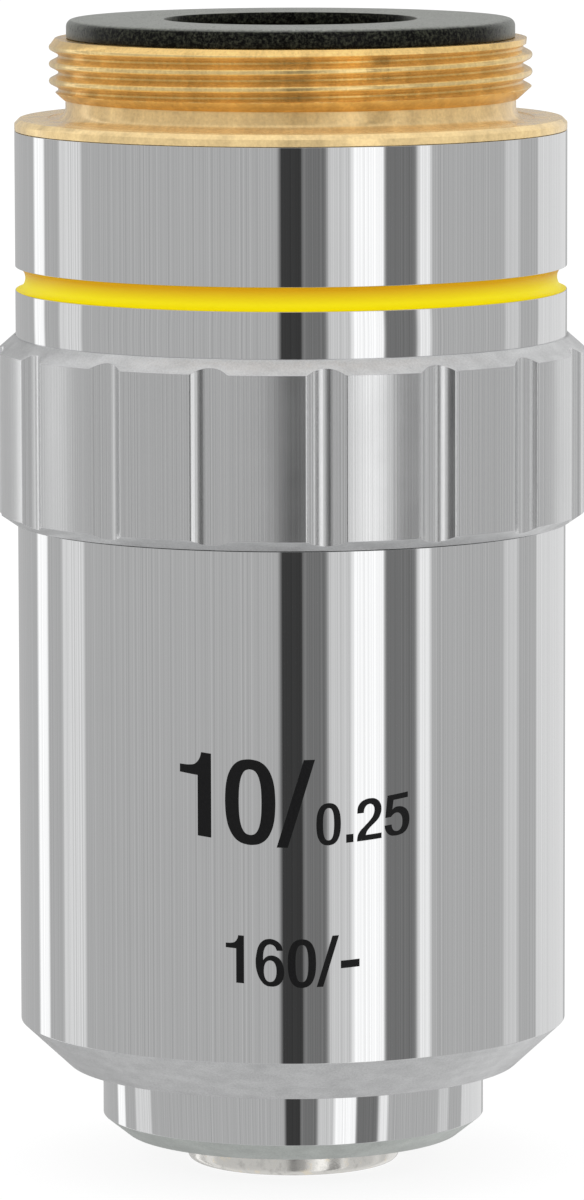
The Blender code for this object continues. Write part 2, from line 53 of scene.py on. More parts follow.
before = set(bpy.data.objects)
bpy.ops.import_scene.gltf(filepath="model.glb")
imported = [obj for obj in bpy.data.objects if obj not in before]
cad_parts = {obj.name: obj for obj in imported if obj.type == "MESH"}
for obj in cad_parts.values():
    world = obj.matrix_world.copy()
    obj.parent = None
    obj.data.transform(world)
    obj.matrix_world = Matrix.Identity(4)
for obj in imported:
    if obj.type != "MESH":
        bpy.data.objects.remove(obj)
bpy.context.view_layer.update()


def node_radius(node):
    """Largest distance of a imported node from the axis."""
    return max(math.hypot(v.co.x, v.co.y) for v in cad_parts[node].data.vertices)


def node_foot(node):
    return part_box(node)[0].z


def node_top(node):
    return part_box(node)[1].z


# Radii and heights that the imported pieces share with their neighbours
SLEEVE_RADIUS = node_radius("thread_mount")
GRIP_RADIUS = node_radius("grip_sleeve")
BARREL_RADIUS = node_radius("marked_barrel")
BODY_TUBE_RADIUS = node_radius("body_tube")
STACK_RADIUS = node_radius("front_cell")
STOP_RADIUS = node_radius("rear_stop_ring")
LENS_RADIUS = node_radius("field_lens")
FRONT_LENS_RADIUS = node_radius("front_lens")
CELL_TOP = node_top("front_cell")
NOSE_FACE = node_foot("body_tube")
TUBE_TOP = node_top("body_tube")
BARREL_FACE = node_foot("marked_barrel")
BARREL_SPIGOT_TOP = node_top("marked_barrel")
SLEEVE_FOOT = node_foot("grip_sleeve")
SLEEVE_TOP = node_top("grip_sleeve")
MOUNT_FOOT = node_foot("thread_mount")
MOUNT_TOP = node_top("thread_mount")
PLUG_FOOT = node_foot("rear_stop_ring")
STOP_TOP = node_top("rear_stop_ring")

# Clearances between neighbours
RADIAL_FIT = 0.05 * MM
SEAT_GAP = 0.02 * MM
SEAM_GAP = 0.05 * MM
END_ROOM = 0.12 * MM

# Turning
FINE_STEPS = 360
INNER_STEPS = 144
BREAK_STEPS = 3
SHARP_ANGLE = math.radians(32.0)
FINE_BREAK = 0.02 * MM
EDGE_BREAK = 0.04 * MM
NO_WIDTH = 0.0001 * MM
AXIS_REACH = 0.01 * MM
ROUND_STEPS = 8
FILLET_STEPS = 10
SATIN_SLOPE = 0.3

# Mount, below and inside its thread
THREAD_RADIUS = 10.135 * MM
FLANK_ANGLE = math.radians(27.5)
INCH = 25.4 * MM
THREAD_CHAMFER = 0.25 * MM
THREAD_STEPS = 320
THREAD_ROWS = 120
CREST_AT_FRONT = 46.76 * MM
NECK_RADIUS = 9.45 * MM
NECK_LENGTH = 0.8 * MM
NECK_TOP_CONE = 0.1 * MM
THREAD_RUN_OUT = 1.1
SHOULDER_RELIEF = 0.04 * MM
FLANGE_THICKNESS = 0.49 * MM
FLANGE_FOOT = SLEEVE_TOP + SEAT_GAP
SHOULDER = FLANGE_FOOT + FLANGE_THICKNESS
THREAD_FOOT = SHOULDER + NECK_LENGTH
MOUNT_SPIGOT_RADIUS = 10.6 * MM
MOUNT_SOCKET_RADIUS = 8.95 * MM
MOUNT_SOCKET_DEPTH = 7.0 * MM
STOP_PLUG_RADIUS = 8.35 * MM
LIGHT_BORE_RADIUS = 7.6 * MM
STOP_LIP = 0.45 * MM

# Sleeve and groove
JOINT_SPIGOT_RADIUS = 10.75 * MM
SLEEVE_LAND_RADIUS = 9.9 * MM
CROWN_LAND = 0.1 * MM
GROOVE_HEIGHT = 10.27 * MM
GROOVE_STEPS = 20
ENAMEL_WRAP = 4.0

# Columns of the grip, gathered at the flutes' edges. At these shares of the pitch from the middle of
# a flute they take these angles, which are scaled until the last one is half the pitch.
COLUMNS_PER_FLUTE = 48
COLUMN_SHARES = (0.0, 0.16, 0.33, 0.5)
COLUMN_ANGLES = (0.0, 3.5, 4.7, 12.0)

# Barrel, nose and front cell
BARREL_BORE = 9.45 * MM
BARREL_FLOOR = 1.2 * MM
NOSE_RADIUS = 8.08 * MM
NOSE_FLOOR = 1.0 * MM
UPPER_TUBE_RADIUS = 8.9 * MM
BODY_SHOULDER = 34.18 * MM
CELL_RADIUS = 4.5 * MM
CELL_RIM_LAND = 0.35 * MM
CELL_MOUTH_DEPTH = 0.45 * MM
CELL_SEAT_DEPTH = 0.75 * MM
CELL_SEAT_RADIUS = 3.2 * MM
CELL_EXIT_FLARE = 1.3 * MM
FRONT_LENS_FOOT_CURVE = 60.0 * MM
FRONT_LENS_TOP_CURVE = -6.5 * MM
FIELD_LENS_FOOT_CURVE = -9.0 * MM
FIELD_LENS_TOP_CURVE = -11.0 * MM
LENS_RINGS = 14

# Numbers: how they are cut and bent to the barrel. The bow lifts the ends of a line, by its value
# times the square of the distance from the front line, in metres.
NUMBER_SUNK = 0.03 * MM
NUMBER_CUT = 0.15 * MM
LOOP_POINTS = 24
LOOP_MERGE = 0.0001
CURVE_STEPS = 5
LINE_BOW = 16.0

# Each line of numbers: character, left and right edge along the surface, rise above the line, and
# height, in millimetres. Edges count from the front line of the barrel, positive to the right.
POWER_NUMBERS = (
    ("1", -4.745, -3.385, 0.11, 3.475),
    ("0", -2.785, -0.705, 0.0, 3.525),
    ("/", -0.655, 0.925, -0.06, 3.62),
    ("0", 0.975, 1.985, -0.01, 1.74),
    (".", 2.21, 2.51, 0.03, 0.34),
    ("2", 2.665, 3.71, 0.03, 1.72),
    ("5", 3.85, 4.94, 0.02, 1.71),
)
TUBE_NUMBERS = (
    ("1", -2.78, -2.02, -0.04, 1.98),
    ("6", -1.535, -0.36, -0.10, 1.97),
    ("0", -0.21, 0.95, -0.14, 2.01),
    ("/", 0.975, 1.90, -0.13, 2.095),
    ("-", 1.98, 2.76, 0.58, 0.315),
)

# Outlines of the characters in a box of one by one, as x, y, and 1 for a corner or 0 for a smooth point
BAR = ((0.0, 0.0, 1), (1.0, 0.0, 1), (1.0, 1.0, 1), (0.0, 1.0, 1))
SLASH = ((0.0, 0.0, 1), (0.29, 0.0, 1), (1.0, 1.0, 1), (0.71, 1.0, 1))
ONE = (
    (0.574, 0.0, 1), (1.0, 0.0, 1), (1.0, 1.0, 1), (0.69, 1.0, 1), (0.65, 0.94, 0), (0.58, 0.89, 0),
    (0.48, 0.85, 0), (0.34, 0.83, 0), (0.0, 0.815, 1), (0.0, 0.72, 1), (0.574, 0.72, 1),
)
TWO = (
    (0.0, 0.0, 1), (1.0, 0.0, 1), (1.0, 0.13, 1), (0.36, 0.13, 1), (0.39, 0.20, 0), (0.52, 0.295, 0),
    (0.73, 0.40, 0), (0.88, 0.49, 0), (0.97, 0.60, 0), (1.0, 0.72, 0), (0.95, 0.85, 0), (0.79, 0.96, 0),
    (0.53, 1.0, 0), (0.31, 0.98, 0), (0.14, 0.92, 0), (0.04, 0.82, 0), (0.01, 0.67, 1),
    (0.275, 0.67, 1), (0.295, 0.755, 0), (0.37, 0.83, 0), (0.48, 0.865, 0), (0.60, 0.85, 0),
    (0.69, 0.79, 0), (0.715, 0.70, 0), (0.66, 0.575, 0), (0.52, 0.465, 0), (0.29, 0.335, 0),
    (0.10, 0.22, 0), (0.02, 0.11, 0),
)
FIVE = (
    (0.12, 1.0, 1), (0.03, 0.47, 1), (0.255, 0.47, 1), (0.345, 0.525, 0), (0.48, 0.55, 0),
    (0.615, 0.51, 0), (0.70, 0.42, 0), (0.72, 0.30, 0), (0.685, 0.18, 0), (0.59, 0.115, 0),
    (0.46, 0.105, 0), (0.355, 0.14, 0), (0.295, 0.205, 0), (0.275, 0.285, 1), (0.0, 0.285, 1),
    (0.015, 0.21, 0), (0.085, 0.11, 0), (0.215, 0.03, 0), (0.40, 0.0, 0), (0.60, 0.0, 0),
    (0.80, 0.04, 0), (0.93, 0.13, 0), (1.0, 0.28, 0), (0.99, 0.43, 0), (0.91, 0.56, 0),
    (0.76, 0.65, 0), (0.57, 0.69, 0), (0.41, 0.685, 0), (0.305, 0.64, 1), (0.355, 0.87, 1),
    (0.94, 0.87, 1), (0.94, 1.0, 1),
)
SIX = (
    (0.955, 0.76, 1), (0.745, 0.76, 1), (0.68, 0.84, 0), (0.58, 0.88, 0), (0.48, 0.885, 0),
    (0.38, 0.855, 0), (0.30, 0.77, 0), (0.27, 0.66, 0), (0.265, 0.555, 1), (0.38, 0.625, 0),
    (0.54, 0.655, 0), (0.72, 0.635, 0), (0.88, 0.56, 0), (0.97, 0.44, 0), (1.0, 0.31, 0),
    (0.965, 0.17, 0), (0.85, 0.06, 0), (0.70, 0.01, 0), (0.53, 0.0, 0), (0.36, 0.02, 0),
    (0.18, 0.12, 0), (0.05, 0.29, 0), (0.0, 0.49, 0), (0.03, 0.68, 0), (0.11, 0.85, 0),
    (0.25, 0.955, 0), (0.43, 1.0, 0), (0.64, 0.99, 0), (0.82, 0.93, 0), (0.92, 0.85, 0),
)
OUTLINES = {"1": ONE, "2": TWO, "5": FIVE, "/": SLASH, ".": BAR, "-": BAR}

# Round loops of the characters: centre, half width, half height and fullness
ZERO_LOOPS = (((0.5, 0.5), 0.5, 0.5, 2.5), ((0.5, 0.5), 0.226, 0.383, 2.6))
SIX_HOLE = ((0.51, 0.323), 0.22, 0.226, 2.3)

# Finishes: the range that most values of a noise fill, and where the painted shade in the thread's roots
# and under the enamel's upper lip and the painted highlight on the thread's crests begin and end
NOISE_LOW = 0.3
NOISE_HIGH = 0.7
ROOT_DEPTH = 0.40 * MM
ROOT_BLEND = 0.2 * MM
ROOT_RAGGED = 0.24 * MM
CREST_BLEND = 0.03 * MM
ENAMEL_SHADE_FOOT = -0.22 * MM
ENAMEL_SHADE_TOP = 0.38 * MM
SPOT_TINT = (1.0, 0.92, 0.78)
BLACKENED = (0.018, 0.017, 0.016)
RUBBED = (0.11, 0.085, 0.05)
GLASS_TINT = (0.97, 0.98, 0.97)
DARK_STEEL = (0.30, 0.30, 0.31)
LIGHT_STEEL = (0.48, 0.48, 0.49)

# Studio: an even surround with white cards, grey cards and black flags, which polished metal mirrors.
# Each has the direction of its middle and its width, both in degrees round the axis, and its level.
# Zero points at the camera, positive lies to the right of the picture, and a level of one is white.
SURROUND_LEVEL = 0.5
CARD_EDGE = 2.0
CARDS = (
    (-130.0, 10.0, 1.2),
    (-105.0, 15.0, 0.8),
    (0.0, 10.0, 0.05),
    (10.0, 10.0, 0.2),
    (20.0, 10.0, 0.7),
    (32.0, 14.0, 1.2),
    (46.0, 14.0, 0.2),
    (57.0, 6.0, 1.0),
    (105.0, 10.0, 0.7),
    (145.0, 40.0, 0.8),
)
SET_LINES = 0.30
SET_LINE_WIDTH = 0.9
ZENITH_LEVEL = 0.88
NADIR_LEVEL = 0.60
WALL_TOP = math.sin(math.radians(34.0))
CEILING_FOOT = math.sin(math.radians(62.0))
DIFFUSE_LEVEL = 0.92
DIFFUSE_LEAN = 0.22
SENSOR_WIDTH = 36.0
CLIP_NEAR = 0.01
CLIP_FAR = 10.0
FLOOR_STEPS = 96
FLOOR_DROP = 0.02 * MM


def length(name, description, millimetres):
    """Length property, with its default given in millimetres."""
    return FloatProperty(
        name=name, description=description, default=millimetres * MM, min=0.0, precision=5,
        subtype="DISTANCE", unit="LENGTH")


def angle(name, description, degrees):
    return FloatProperty(
        name=name, description=description, default=math.radians(degrees), subtype="ANGLE",
        unit="ROTATION")


def shade(name, description, colour):
    """Colour property, in linear light."""
    return FloatVectorProperty(
        name=name, description=description, default=colour, size=3, min=0.0, max=1.0, subtype="COLOR")


class MountSettings(bpy.types.PropertyGroup):
    turns: IntProperty(
        name="Turns per Inch", description="Turns of the screw thread in one inch", default=36, min=12,
        max=80)
    crest_round: length("Crest Rounding", "Radius of the thread's crests", 0.15)
    root_round: length("Root Rounding", "Radius of the thread's roots", 0.10)
    neck_fillet: length("Neck Fillet", "Radius where the relief neck runs out into the flange", 0.5)
    flange_chamfer: length("Flange Chamfer", "Chamfer round the upper edge of the flange", 0.2)
    brass: shade("Brass", "Turned brass of the neck and the flange", (1.0, 0.74, 0.36))
    # Paler colour on the thread's crests: a painted highlight.
    crest_brass: shade("Crest Painted Highlight", "Rubbed brass on the crests of the thread", (1.0, 0.74, 0.33))
    flank_brass: shade("Flank Brass", "Brass on the flanks of the thread", (0.99, 0.67, 0.25))
    # Browner colour in the thread's roots: painted shade.
    root_brass: shade("Root Painted Shade", "Brown brass in the roots of the thread", (0.86, 0.54, 0.17))


class StopSettings(bpy.types.PropertyGroup):
    height: length("Ring Height", "Height of the black ring above the mount", 0.77)
    rim_round: length("Rim Rounding", "Radius of the ring's upper edge", 0.3)
    hole_radius: length("Hole Radius", "Radius of the rear opening", 5.3)
    hole_flare: length("Hole Flare", "How far the opening widens inwards", 1.5)
    black: shade("Black", "Black finish of the ring", (0.0075, 0.008, 0.0055))
    # Grey that the ring takes where it faces up, partly dusty bloom and partly painted sheen, and where
    # it is seen edge on, painted sheen alone.
    dust: shade("Dust and Sheen", "Dusty bloom where the ring faces up", (0.29, 0.30, 0.275))


class SleeveSettings(bpy.types.PropertyGroup):
    grip_length: length("Grip Length", "Height of the fluted grip", 7.84)
    foot_width: length("Foot Width", "Width of the chamfer at the grip's foot", 0.63)
    foot_height: length("Foot Height", "Height of the chamfer at the grip's foot", 0.43)
    crown_height: length("Crown Height", "Height of the sloping crown of the grip", 0.6)
    flutes: IntProperty(name="Flutes", description="Number of flutes round the grip", default=16, min=5)
    flute_radius: length("Flute Radius", "Radius of the cutter that makes a flute", 1.3)
    flute_depth: length("Flute Depth", "Depth of a flute", 0.3)
    flute_turn: angle("Flute Turn", "Direction of the first flute round the axis", 6.65)
    flute_edge: length("Flute Edge", "How far the edges of the flutes are softened", 0.06)
    groove_radius: length("Groove Radius", "Radius of the round colour groove", 0.5)
    enamel_depth: length("Enamel Depth", "How far the enamel lies below the sleeve's surface", 0.42)
    chrome: shade("Chrome", "Bright plating of the plain walls", (0.83, 0.835, 0.84))
    satin: shade("Satin Chrome", "Plating of the chamfers", (0.70, 0.705, 0.71))
    enamel: shade("Enamel", "Enamel in the lower half of the groove", (0.97, 0.86, 0.004))
    # Colour of the painted shade under the groove's upper lip, where the enamel darkens and turns orange.
    deep_enamel: shade("Enamel Painted Shade", "Enamel under the groove's upper lip", (0.68, 0.37, 0.010))


class BarrelSettings(bpy.types.PropertyGroup):
    cone_width: length("Cone Width", "Width of the cone at the barrel's foot", 1.99)
    cone_height: length("Cone Height", "Height of the cone at the barrel's foot", 1.85)
    nose_width: length("Nose Chamfer Width", "Width of the chamfer round the nose", 0.98)
    nose_height: length("Nose Chamfer Height", "Height of the chamfer round the nose", 0.78)
    nose_satin: shade("Nose Satin", "Plating of the nose's chamfer", (0.58, 0.61, 0.585))
    cell_round: length("Cell Rounding", "Radius of the front cell's rim", 0.3)
    cell_chrome: shade("Cell Chrome", "Warm plating of the front cell", (0.90, 0.88, 0.84))
    coating: shade("Lens Coating", "Tint that the lens coating shows at a low angle", (0.62, 0.55, 0.80))


class NumberSettings(bpy.types.PropertyGroup):
    power_line: length("Power Line", "Height of the foot of the upper numbers", 15.17)
    tube_line: length("Tube Line", "Height of the foot of the lower numbers", 9.43)
    proud: length("Paint Height", "How far the paint stands proud of the barrel", 0.012)
    paint: shade("Paint", "Paint of the numbers", (0.005, 0.005, 0.0055))


class StudioSettings(bpy.types.PropertyGroup):
    distance: length("Camera Distance", "Distance of the camera from the axis", 330.0)
    height: length("Camera Height", "Height of the camera above the floor", 65.12)
    pitch: angle("Camera Pitch", "How far the camera looks down", 7.121)
    roll: angle("Camera Roll", "How far the camera leans to its side", -0.144)
    lens: FloatProperty(
        name="Lens", description="Focal length of the camera", default=236.0, min=1.0, subtype="NONE",
        unit="CAMERA")
    floor_radius: length("Floor Radius", "Radius of the round floor", 1600.0)
    floor_glow: FloatProperty(
        name="Floor Glow", description="The floor's own light, which keeps it white", default=0.86,
        min=0.0, max=1.0, subtype="FACTOR")
    floor_colour: shade("Floor Colour", "Colour of the floor under the shadow", (0.18, 0.18, 0.18))


class ObjectiveSettings(bpy.types.PropertyGroup):
    mount: PointerProperty(type=MountSettings, name="Mount", description="Brass screw mount")
    stop: PointerProperty(type=StopSettings, name="Stop Ring", description="Black ring on the mount")
    sleeve: PointerProperty(type=SleeveSettings, name="Sleeve", description="Sleeve with the fluted grip")
    barrel: PointerProperty(type=BarrelSettings, name="Barrel", description="Barrel, nose and front cell")
    numbers: PointerProperty(type=NumberSettings, name="Numbers", description="Painted numbers")
    studio: PointerProperty(type=StudioSettings, name="Studio", description="Camera and floor")


def settings():
    return bpy.context.scene.objective


def get_node(tree, kind, inputs=None, **options):
    """Add a shader node, with its inputs set to values or linked to sockets."""
    made = tree.nodes.new(kind)
    for key, value in options.items():
        setattr(made, key, value)
    for key, value in (inputs or {}).items():
        if isinstance(value, bpy.types.NodeSocket):
            tree.links.new(value, made.inputs[key])
        else:
            made.inputs[key].default_value = value
    return made


def maths(tree, operation, first, second=0.0, third=0.0):
    inputs = {0: first, 1: second, 2: third}
    return get_node(tree, "ShaderNodeMath", inputs, operation=operation).outputs[0]


def map_range(tree, value, low, high, to_low=0.0, to_high=1.0):
    inputs = {"Value": value, "From Min": low, "From Max": high, "To Min": to_low, "To Max": to_high}
    return get_node(tree, "ShaderNodeMapRange", inputs).outputs["Result"]


def rgba(colour, level=1.0):
    """Colour with full cover, made darker or lighter by a level."""
    return (*[min(part * level, 1.0) for part in colour], 1.0)


def grey(level):
    return (level, level, level, 1.0)


def blend_colour(tree, factor, first, second, mode="MIX"):
    made = get_node(tree, "ShaderNodeMix", data_type="RGBA", blend_type=mode)
    for index, value in ((0, factor), (6, first), (7, second)):
        if isinstance(value, bpy.types.NodeSocket):
            tree.links.new(value, made.inputs[index])
        else:
            made.inputs[index].default_value = value
    return made.outputs[2]


def multiplied(tree, colour, level):
    """Colour made darker or lighter by a level that varies."""
    return blend_colour(tree, 1.0, colour, level, "MULTIPLY")


def noise(tree, place, scale, detail=2.0, roughness=0.5):
    inputs = {"Vector": place, "Scale": scale, "Detail": detail, "Roughness": roughness}
    return get_node(tree, "ShaderNodeTexNoise", inputs).outputs["Fac"]


def spread(tree, grain, low, high):
    """Noise spread between two values."""
    return map_range(tree, grain, NOISE_LOW, NOISE_HIGH, low, high)


def stretched(tree, place, scale):
    """The object's own coordinates, scaled by a different amount along each axis."""
    return get_node(tree, "ShaderNodeMapping", {"Vector": place, "Scale": scale}).outputs["Vector"]


def upward_part(tree, vector):
    return get_node(tree, "ShaderNodeSeparateXYZ", {0: vector}).outputs["Z"]


def direction_round(tree, vector):
    """Direction round the axis, zero at the front and positive to the right of it."""
    parts = get_node(tree, "ShaderNodeSeparateXYZ", {0: vector}).outputs
    return maths(tree, "ARCTAN2", parts["X"], maths(tree, "MULTIPLY", parts["Y"], -1.0))


def lengthwise_lines(tree, turned, per_radian, detail):
    """Fine straight lines along the axis, from one-way noise of the direction round it."""
    inputs = {"W": maths(tree, "MULTIPLY", turned, per_radian), "Scale": 1.0, "Detail": detail}
    return get_node(tree, "ShaderNodeTexNoise", inputs, noise_dimensions="1D").outputs["Fac"]


def bump(tree, height, distance, strength=1.0):
    inputs = {"Height": height, "Distance": distance, "Strength": strength}
    return get_node(tree, "ShaderNodeBump", inputs).outputs["Normal"]


def new_finish(name, metallic, **sockets):
    """A material with one Principled shader. Returns it, its tree and its object coordinates."""
    material = bpy.data.materials.new(name)
    material.use_nodes = True
    tree = material.node_tree
    shader = tree.nodes["Principled BSDF"]
    shader.inputs["Metallic"].default_value = metallic
    for socket, value in sockets.items():
        shader.inputs[socket.replace("_", " ")].default_value = value
    place = get_node(tree, "ShaderNodeTexCoord").outputs["Object"]
    return material, tree, place


def link_finish(tree, colour, roughness, normal=None):
    """Lead colour, roughness and bump into the Principled shader."""
    shader = tree.nodes["Principled BSDF"]
    tree.links.new(colour, shader.inputs["Base Color"])
    tree.links.new(roughness, shader.inputs["Roughness"])
    if normal is not None:
        tree.links.new(normal, shader.inputs["Normal"])


def plated(name, tint, low, high, line_depth):
    """Bright plating: wiping haze, fine lines along the axis and hairlines round it."""
    material, tree, place = new_finish(name, 1.0)
    haze = noise(tree, place, 260.0, 3.0, 0.6)
    lines = lengthwise_lines(tree, direction_round(tree, place), 1300.0 / math.tau, 2.0)
    hairlines = noise(tree, stretched(tree, place, (60.0, 60.0, 9000.0)), 1.0)
    hazed = blend_colour(tree, haze, rgba(tint), rgba(tint, 0.965))
    colour = multiplied(tree, hazed, spread(tree, lines, 1.0 - line_depth, 1.0))
    link_finish(tree, colour, spread(tree, haze, low, high), bump(tree, hairlines, 0.0012 * MM, 0.2))
    return material


def polished_chrome(name):
    """Mirror plating of the plain walls."""
    return plated(name, settings().sleeve.chrome, 0.022, 0.036, 0.10)


def drawn_chrome(name):
    """Plating of the grip, softer than the plain walls."""
    return plated(name, settings().sleeve.chrome, 0.20, 0.25, 0.18)


def satin(name, tint):
    """Plated chamfer left with the grain of its cutting."""
    material, tree, place = new_finish(name, 1.0)
    grain = noise(tree, place, 12000.0, 3.0, 0.75)
    smear = noise(tree, stretched(tree, place, (1000.0, 1000.0, 2600.0)), 1.0, 3.0)
    mottled = maths(tree, "MULTIPLY_ADD", smear, 0.4, maths(tree, "MULTIPLY", grain, 0.6))
    colour = blend_colour(tree, map_range(tree, mottled, 0.36, 0.64), rgba(tint, 0.85), rgba(tint, 1.13))
    link_finish(tree, colour, spread(tree, grain, 0.28, 0.40), bump(tree, grain, 0.02 * MM, 0.3))
    return material


def satin_chamfer(name):
    return satin(name, settings().sleeve.satin)


def nose_satin(name):
    return satin(name, settings().barrel.nose_satin)


def worn_cell(name):
    """Warm plating of the front cell, dulled and spotted by use."""
    material, tree, place = new_finish(name, 0.75)
    tint = settings().barrel.cell_chrome
    spots = noise(tree, place, 1700.0, 3.0, 0.6)
    warm = blend_colour(tree, map_range(tree, spots, 0.56, 0.68), rgba(tint), rgba(SPOT_TINT))
    colour = blend_colour(tree, map_range(tree, spots, 0.3, 0.45, 1.0, 0.0), warm, rgba(tint, 0.78))
    link_finish(tree, colour, spread(tree, spots, 0.14, 0.24), bump(tree, spots, 0.01 * MM, 0.4))
    return material


def grained_brass(tree, place, brass):
    """Lead blotched, speckled and finely turned brass into the shader."""
    blotches = noise(tree, stretched(tree, place, (1100.0, 1100.0, 450.0)), 1.0, 4.0, 0.6)
    speckle = noise(tree, place, 7000.0, 3.0, 0.7)
    stained = multiplied(tree, brass, map_range(tree, blotches, 0.35, 0.65, 0.84, 1.08))
    grained = multiplied(tree, stained, spread(tree, speckle, 0.84, 1.08))
    tool_lines = noise(tree, stretched(tree, place, (40.0, 40.0, 14000.0)), 1.0)
    relief = maths(tree, "ADD", tool_lines, maths(tree, "MULTIPLY", speckle, 0.8))
    link_finish(tree, grained, spread(tree, blotches, 0.15, 0.27), bump(tree, relief, 0.004 * MM, 0.5))


def turned_brass(name):
    """Bare brass of the neck and the flange."""
    material, tree, place = new_finish(name, 0.42)
    grained_brass(tree, place, rgba(settings().mount.brass))
    return material


def threaded_brass(name):
    """Bare brass, with painted shade browning the roots of the thread and a painted highlight along its
    crests.
    """
    material, tree, place = new_finish(name, 0.75)
    mount = settings().mount
    flat = stretched(tree, place, (1.0, 1.0, 0.0))
    radius = get_node(tree, "ShaderNodeVectorMath", {0: flat}, operation="LENGTH").outputs["Value"]
    ragged = noise(tree, stretched(tree, place, (900.0, 900.0, 500.0)), 1.0, 4.0, 0.65)
    wander = maths(tree, "MULTIPLY_ADD", ragged, ROOT_RAGGED, -ROOT_RAGGED / 2.0)
    reach = maths(tree, "ADD", radius, wander)
    root = THREAD_RADIUS - ROOT_DEPTH
    # Painted shade: the thread turns browner towards its roots.
    out_of_root = map_range(tree, reach, root, root + ROOT_BLEND)
    flank = blend_colour(tree, out_of_root, rgba(mount.root_brass), rgba(mount.flank_brass))
    # Painted highlight: the thread turns paler along its crests.
    on_crest = map_range(tree, radius, THREAD_RADIUS - CREST_BLEND, THREAD_RADIUS)
    grained_brass(tree, place, blend_colour(tree, on_crest, flank, rgba(mount.crest_brass)))
    return material


def black_coating(name):
    """Black finish with a fine matt grain, greyed where it faces up, partly by dusty bloom and partly by
    a painted sheen, and greyed by a painted sheen where it is seen edge on.
    """
    material, tree, place = new_finish(name, 0.0, Specular_IOR_Level=0.12)
    stop = settings().stop
    grain = noise(tree, place, 6500.0, 3.0, 0.8)
    dust = noise(tree, place, 1500.0, 4.0, 0.7)
    upward = upward_part(tree, get_node(tree, "ShaderNodeNewGeometry").outputs["Normal"])
    facing = get_node(tree, "ShaderNodeLayerWeight", {"Blend": 0.5}).outputs["Facing"]
    thickness = map_range(tree, dust, 0.25, 0.7, 0.7, 1.0)
    # Upward faces grey partly by dusty bloom and partly by painted sheen; where the ring is seen edge on,
    # the grey is painted sheen alone.
    upward_cover = maths(tree, "MULTIPLY", map_range(tree, upward, 0.62, 0.95), thickness)
    dust_and_sheen_cover = maths(tree, "MAXIMUM", upward_cover, map_range(tree, facing, 0.5, 1.0, 0.0, 0.8))
    glints = map_range(tree, grain, 0.46, 0.68)
    black = blend_colour(tree, glints, rgba(stop.black, 0.1), rgba(stop.black, 6.5))
    specks = map_range(tree, grain, 0.34, 0.66)
    bloom = blend_colour(tree, specks, rgba(stop.dust, 0.7), rgba(stop.dust, 1.3))
    colour = blend_colour(tree, dust_and_sheen_cover, black, bloom)
    link_finish(tree, colour, spread(tree, grain, 0.24, 0.40), bump(tree, grain, 0.03 * MM, 0.6))
    return material


def blackened_metal(name):
    """Chemically blackened brass of the lens cells, with a few rubbed spots."""
    material, tree, place = new_finish(name, 0.6)
    lines = noise(tree, stretched(tree, place, (60.0, 60.0, 8000.0)), 1.0)
    rubbed = noise(tree, place, 1100.0, 4.0, 0.7)
    colour = blend_colour(tree, map_range(tree, rubbed, 0.62, 0.75), rgba(BLACKENED), rgba(RUBBED))
    link_finish(tree, colour, spread(tree, rubbed, 0.42, 0.6), bump(tree, lines, 0.01 * MM, 0.6))
    return material


def filled_enamel(name):
    """Enamel with a soft sheen, and painted shade that darkens it towards the groove's upper lip."""
    material, tree, place = new_finish(name, 0.0, Specular_IOR_Level=0.12)
    sleeve = settings().sleeve
    run = noise(tree, stretched(tree, place, (350.0, 350.0, 1600.0)), 1.0)
    wavy = maths(tree, "MULTIPLY_ADD", run, 0.06 * MM, upward_part(tree, place))
    middle = SLEEVE_FOOT + GROOVE_HEIGHT
    # Painted shade: the enamel blends towards the darker, more orange colour as it rises to the groove's
    # upper lip.
    depth = map_range(tree, wavy, middle + ENAMEL_SHADE_FOOT, middle + ENAMEL_SHADE_TOP)
    colour = blend_colour(tree, depth, rgba(sleeve.enamel), rgba(sleeve.deep_enamel))
    link_finish(tree, colour, spread(tree, run, 0.36, 0.46), bump(tree, run, 0.01 * MM, 0.2))
    return material


def number_paint(name):
    """Near black paint of the numbers."""
    material, tree, place = new_finish(name, 0.0, Specular_IOR_Level=0.2)
    paint = settings().numbers.paint
    grain = noise(tree, place, 9000.0)
    colour = blend_colour(tree, grain, rgba(paint, 0.6), rgba(paint, 1.5))
    link_finish(tree, colour, spread(tree, grain, 0.38, 0.5))
    return material


def coated_glass(name):
    """Lens glass whose coating gives a faint tint at its edge."""
    material, tree, place = new_finish(
        name, 0.0, IOR=1.52, Transmission_Weight=1.0, Coat_Weight=0.4, Coat_Roughness=0.02)
    wiped = noise(tree, place, 700.0, 3.0, 0.6)
    facing = get_node(tree, "ShaderNodeLayerWeight", {"Blend": 0.35}).outputs["Facing"]
    colour = blend_colour(tree, facing, rgba(GLASS_TINT), rgba(settings().barrel.coating))
    link_finish(tree, colour, map_range(tree, wiped, 0.4, 0.75, 0.0, 0.03))
    return material


def screw_steel(name):
    material, tree, place = new_finish(name, 1.0)
    lines = noise(tree, place, 5000.0, 3.0)
    colour = blend_colour(tree, lines, rgba(DARK_STEEL), rgba(LIGHT_STEEL))
    link_finish(tree, colour, spread(tree, lines, 0.28, 0.42), bump(tree, lines, 0.006 * MM, 0.5))
    return material


def finish(make):
    """The material of this finish, made the first time it is wanted."""
    return bpy.data.materials.get(make.__name__) or make(make.__name__)


def arc(centre, radius, start_degrees, end_degrees, steps):
    """Points of a round stretch of an outline, both ends included."""
    points = []
    for step in range(steps + 1):
        turned = math.radians(start_degrees + (end_degrees - start_degrees) * step / steps)
        points.append((centre[0] + radius * math.cos(turned), centre[1] + radius * math.sin(turned)))
    return points


def sag(curve, radius):
    """How far above its vertex a spherical surface lies at this radius."""
    depth = abs(curve) - math.sqrt(curve * curve - radius * radius)
    return math.copysign(depth, curve)


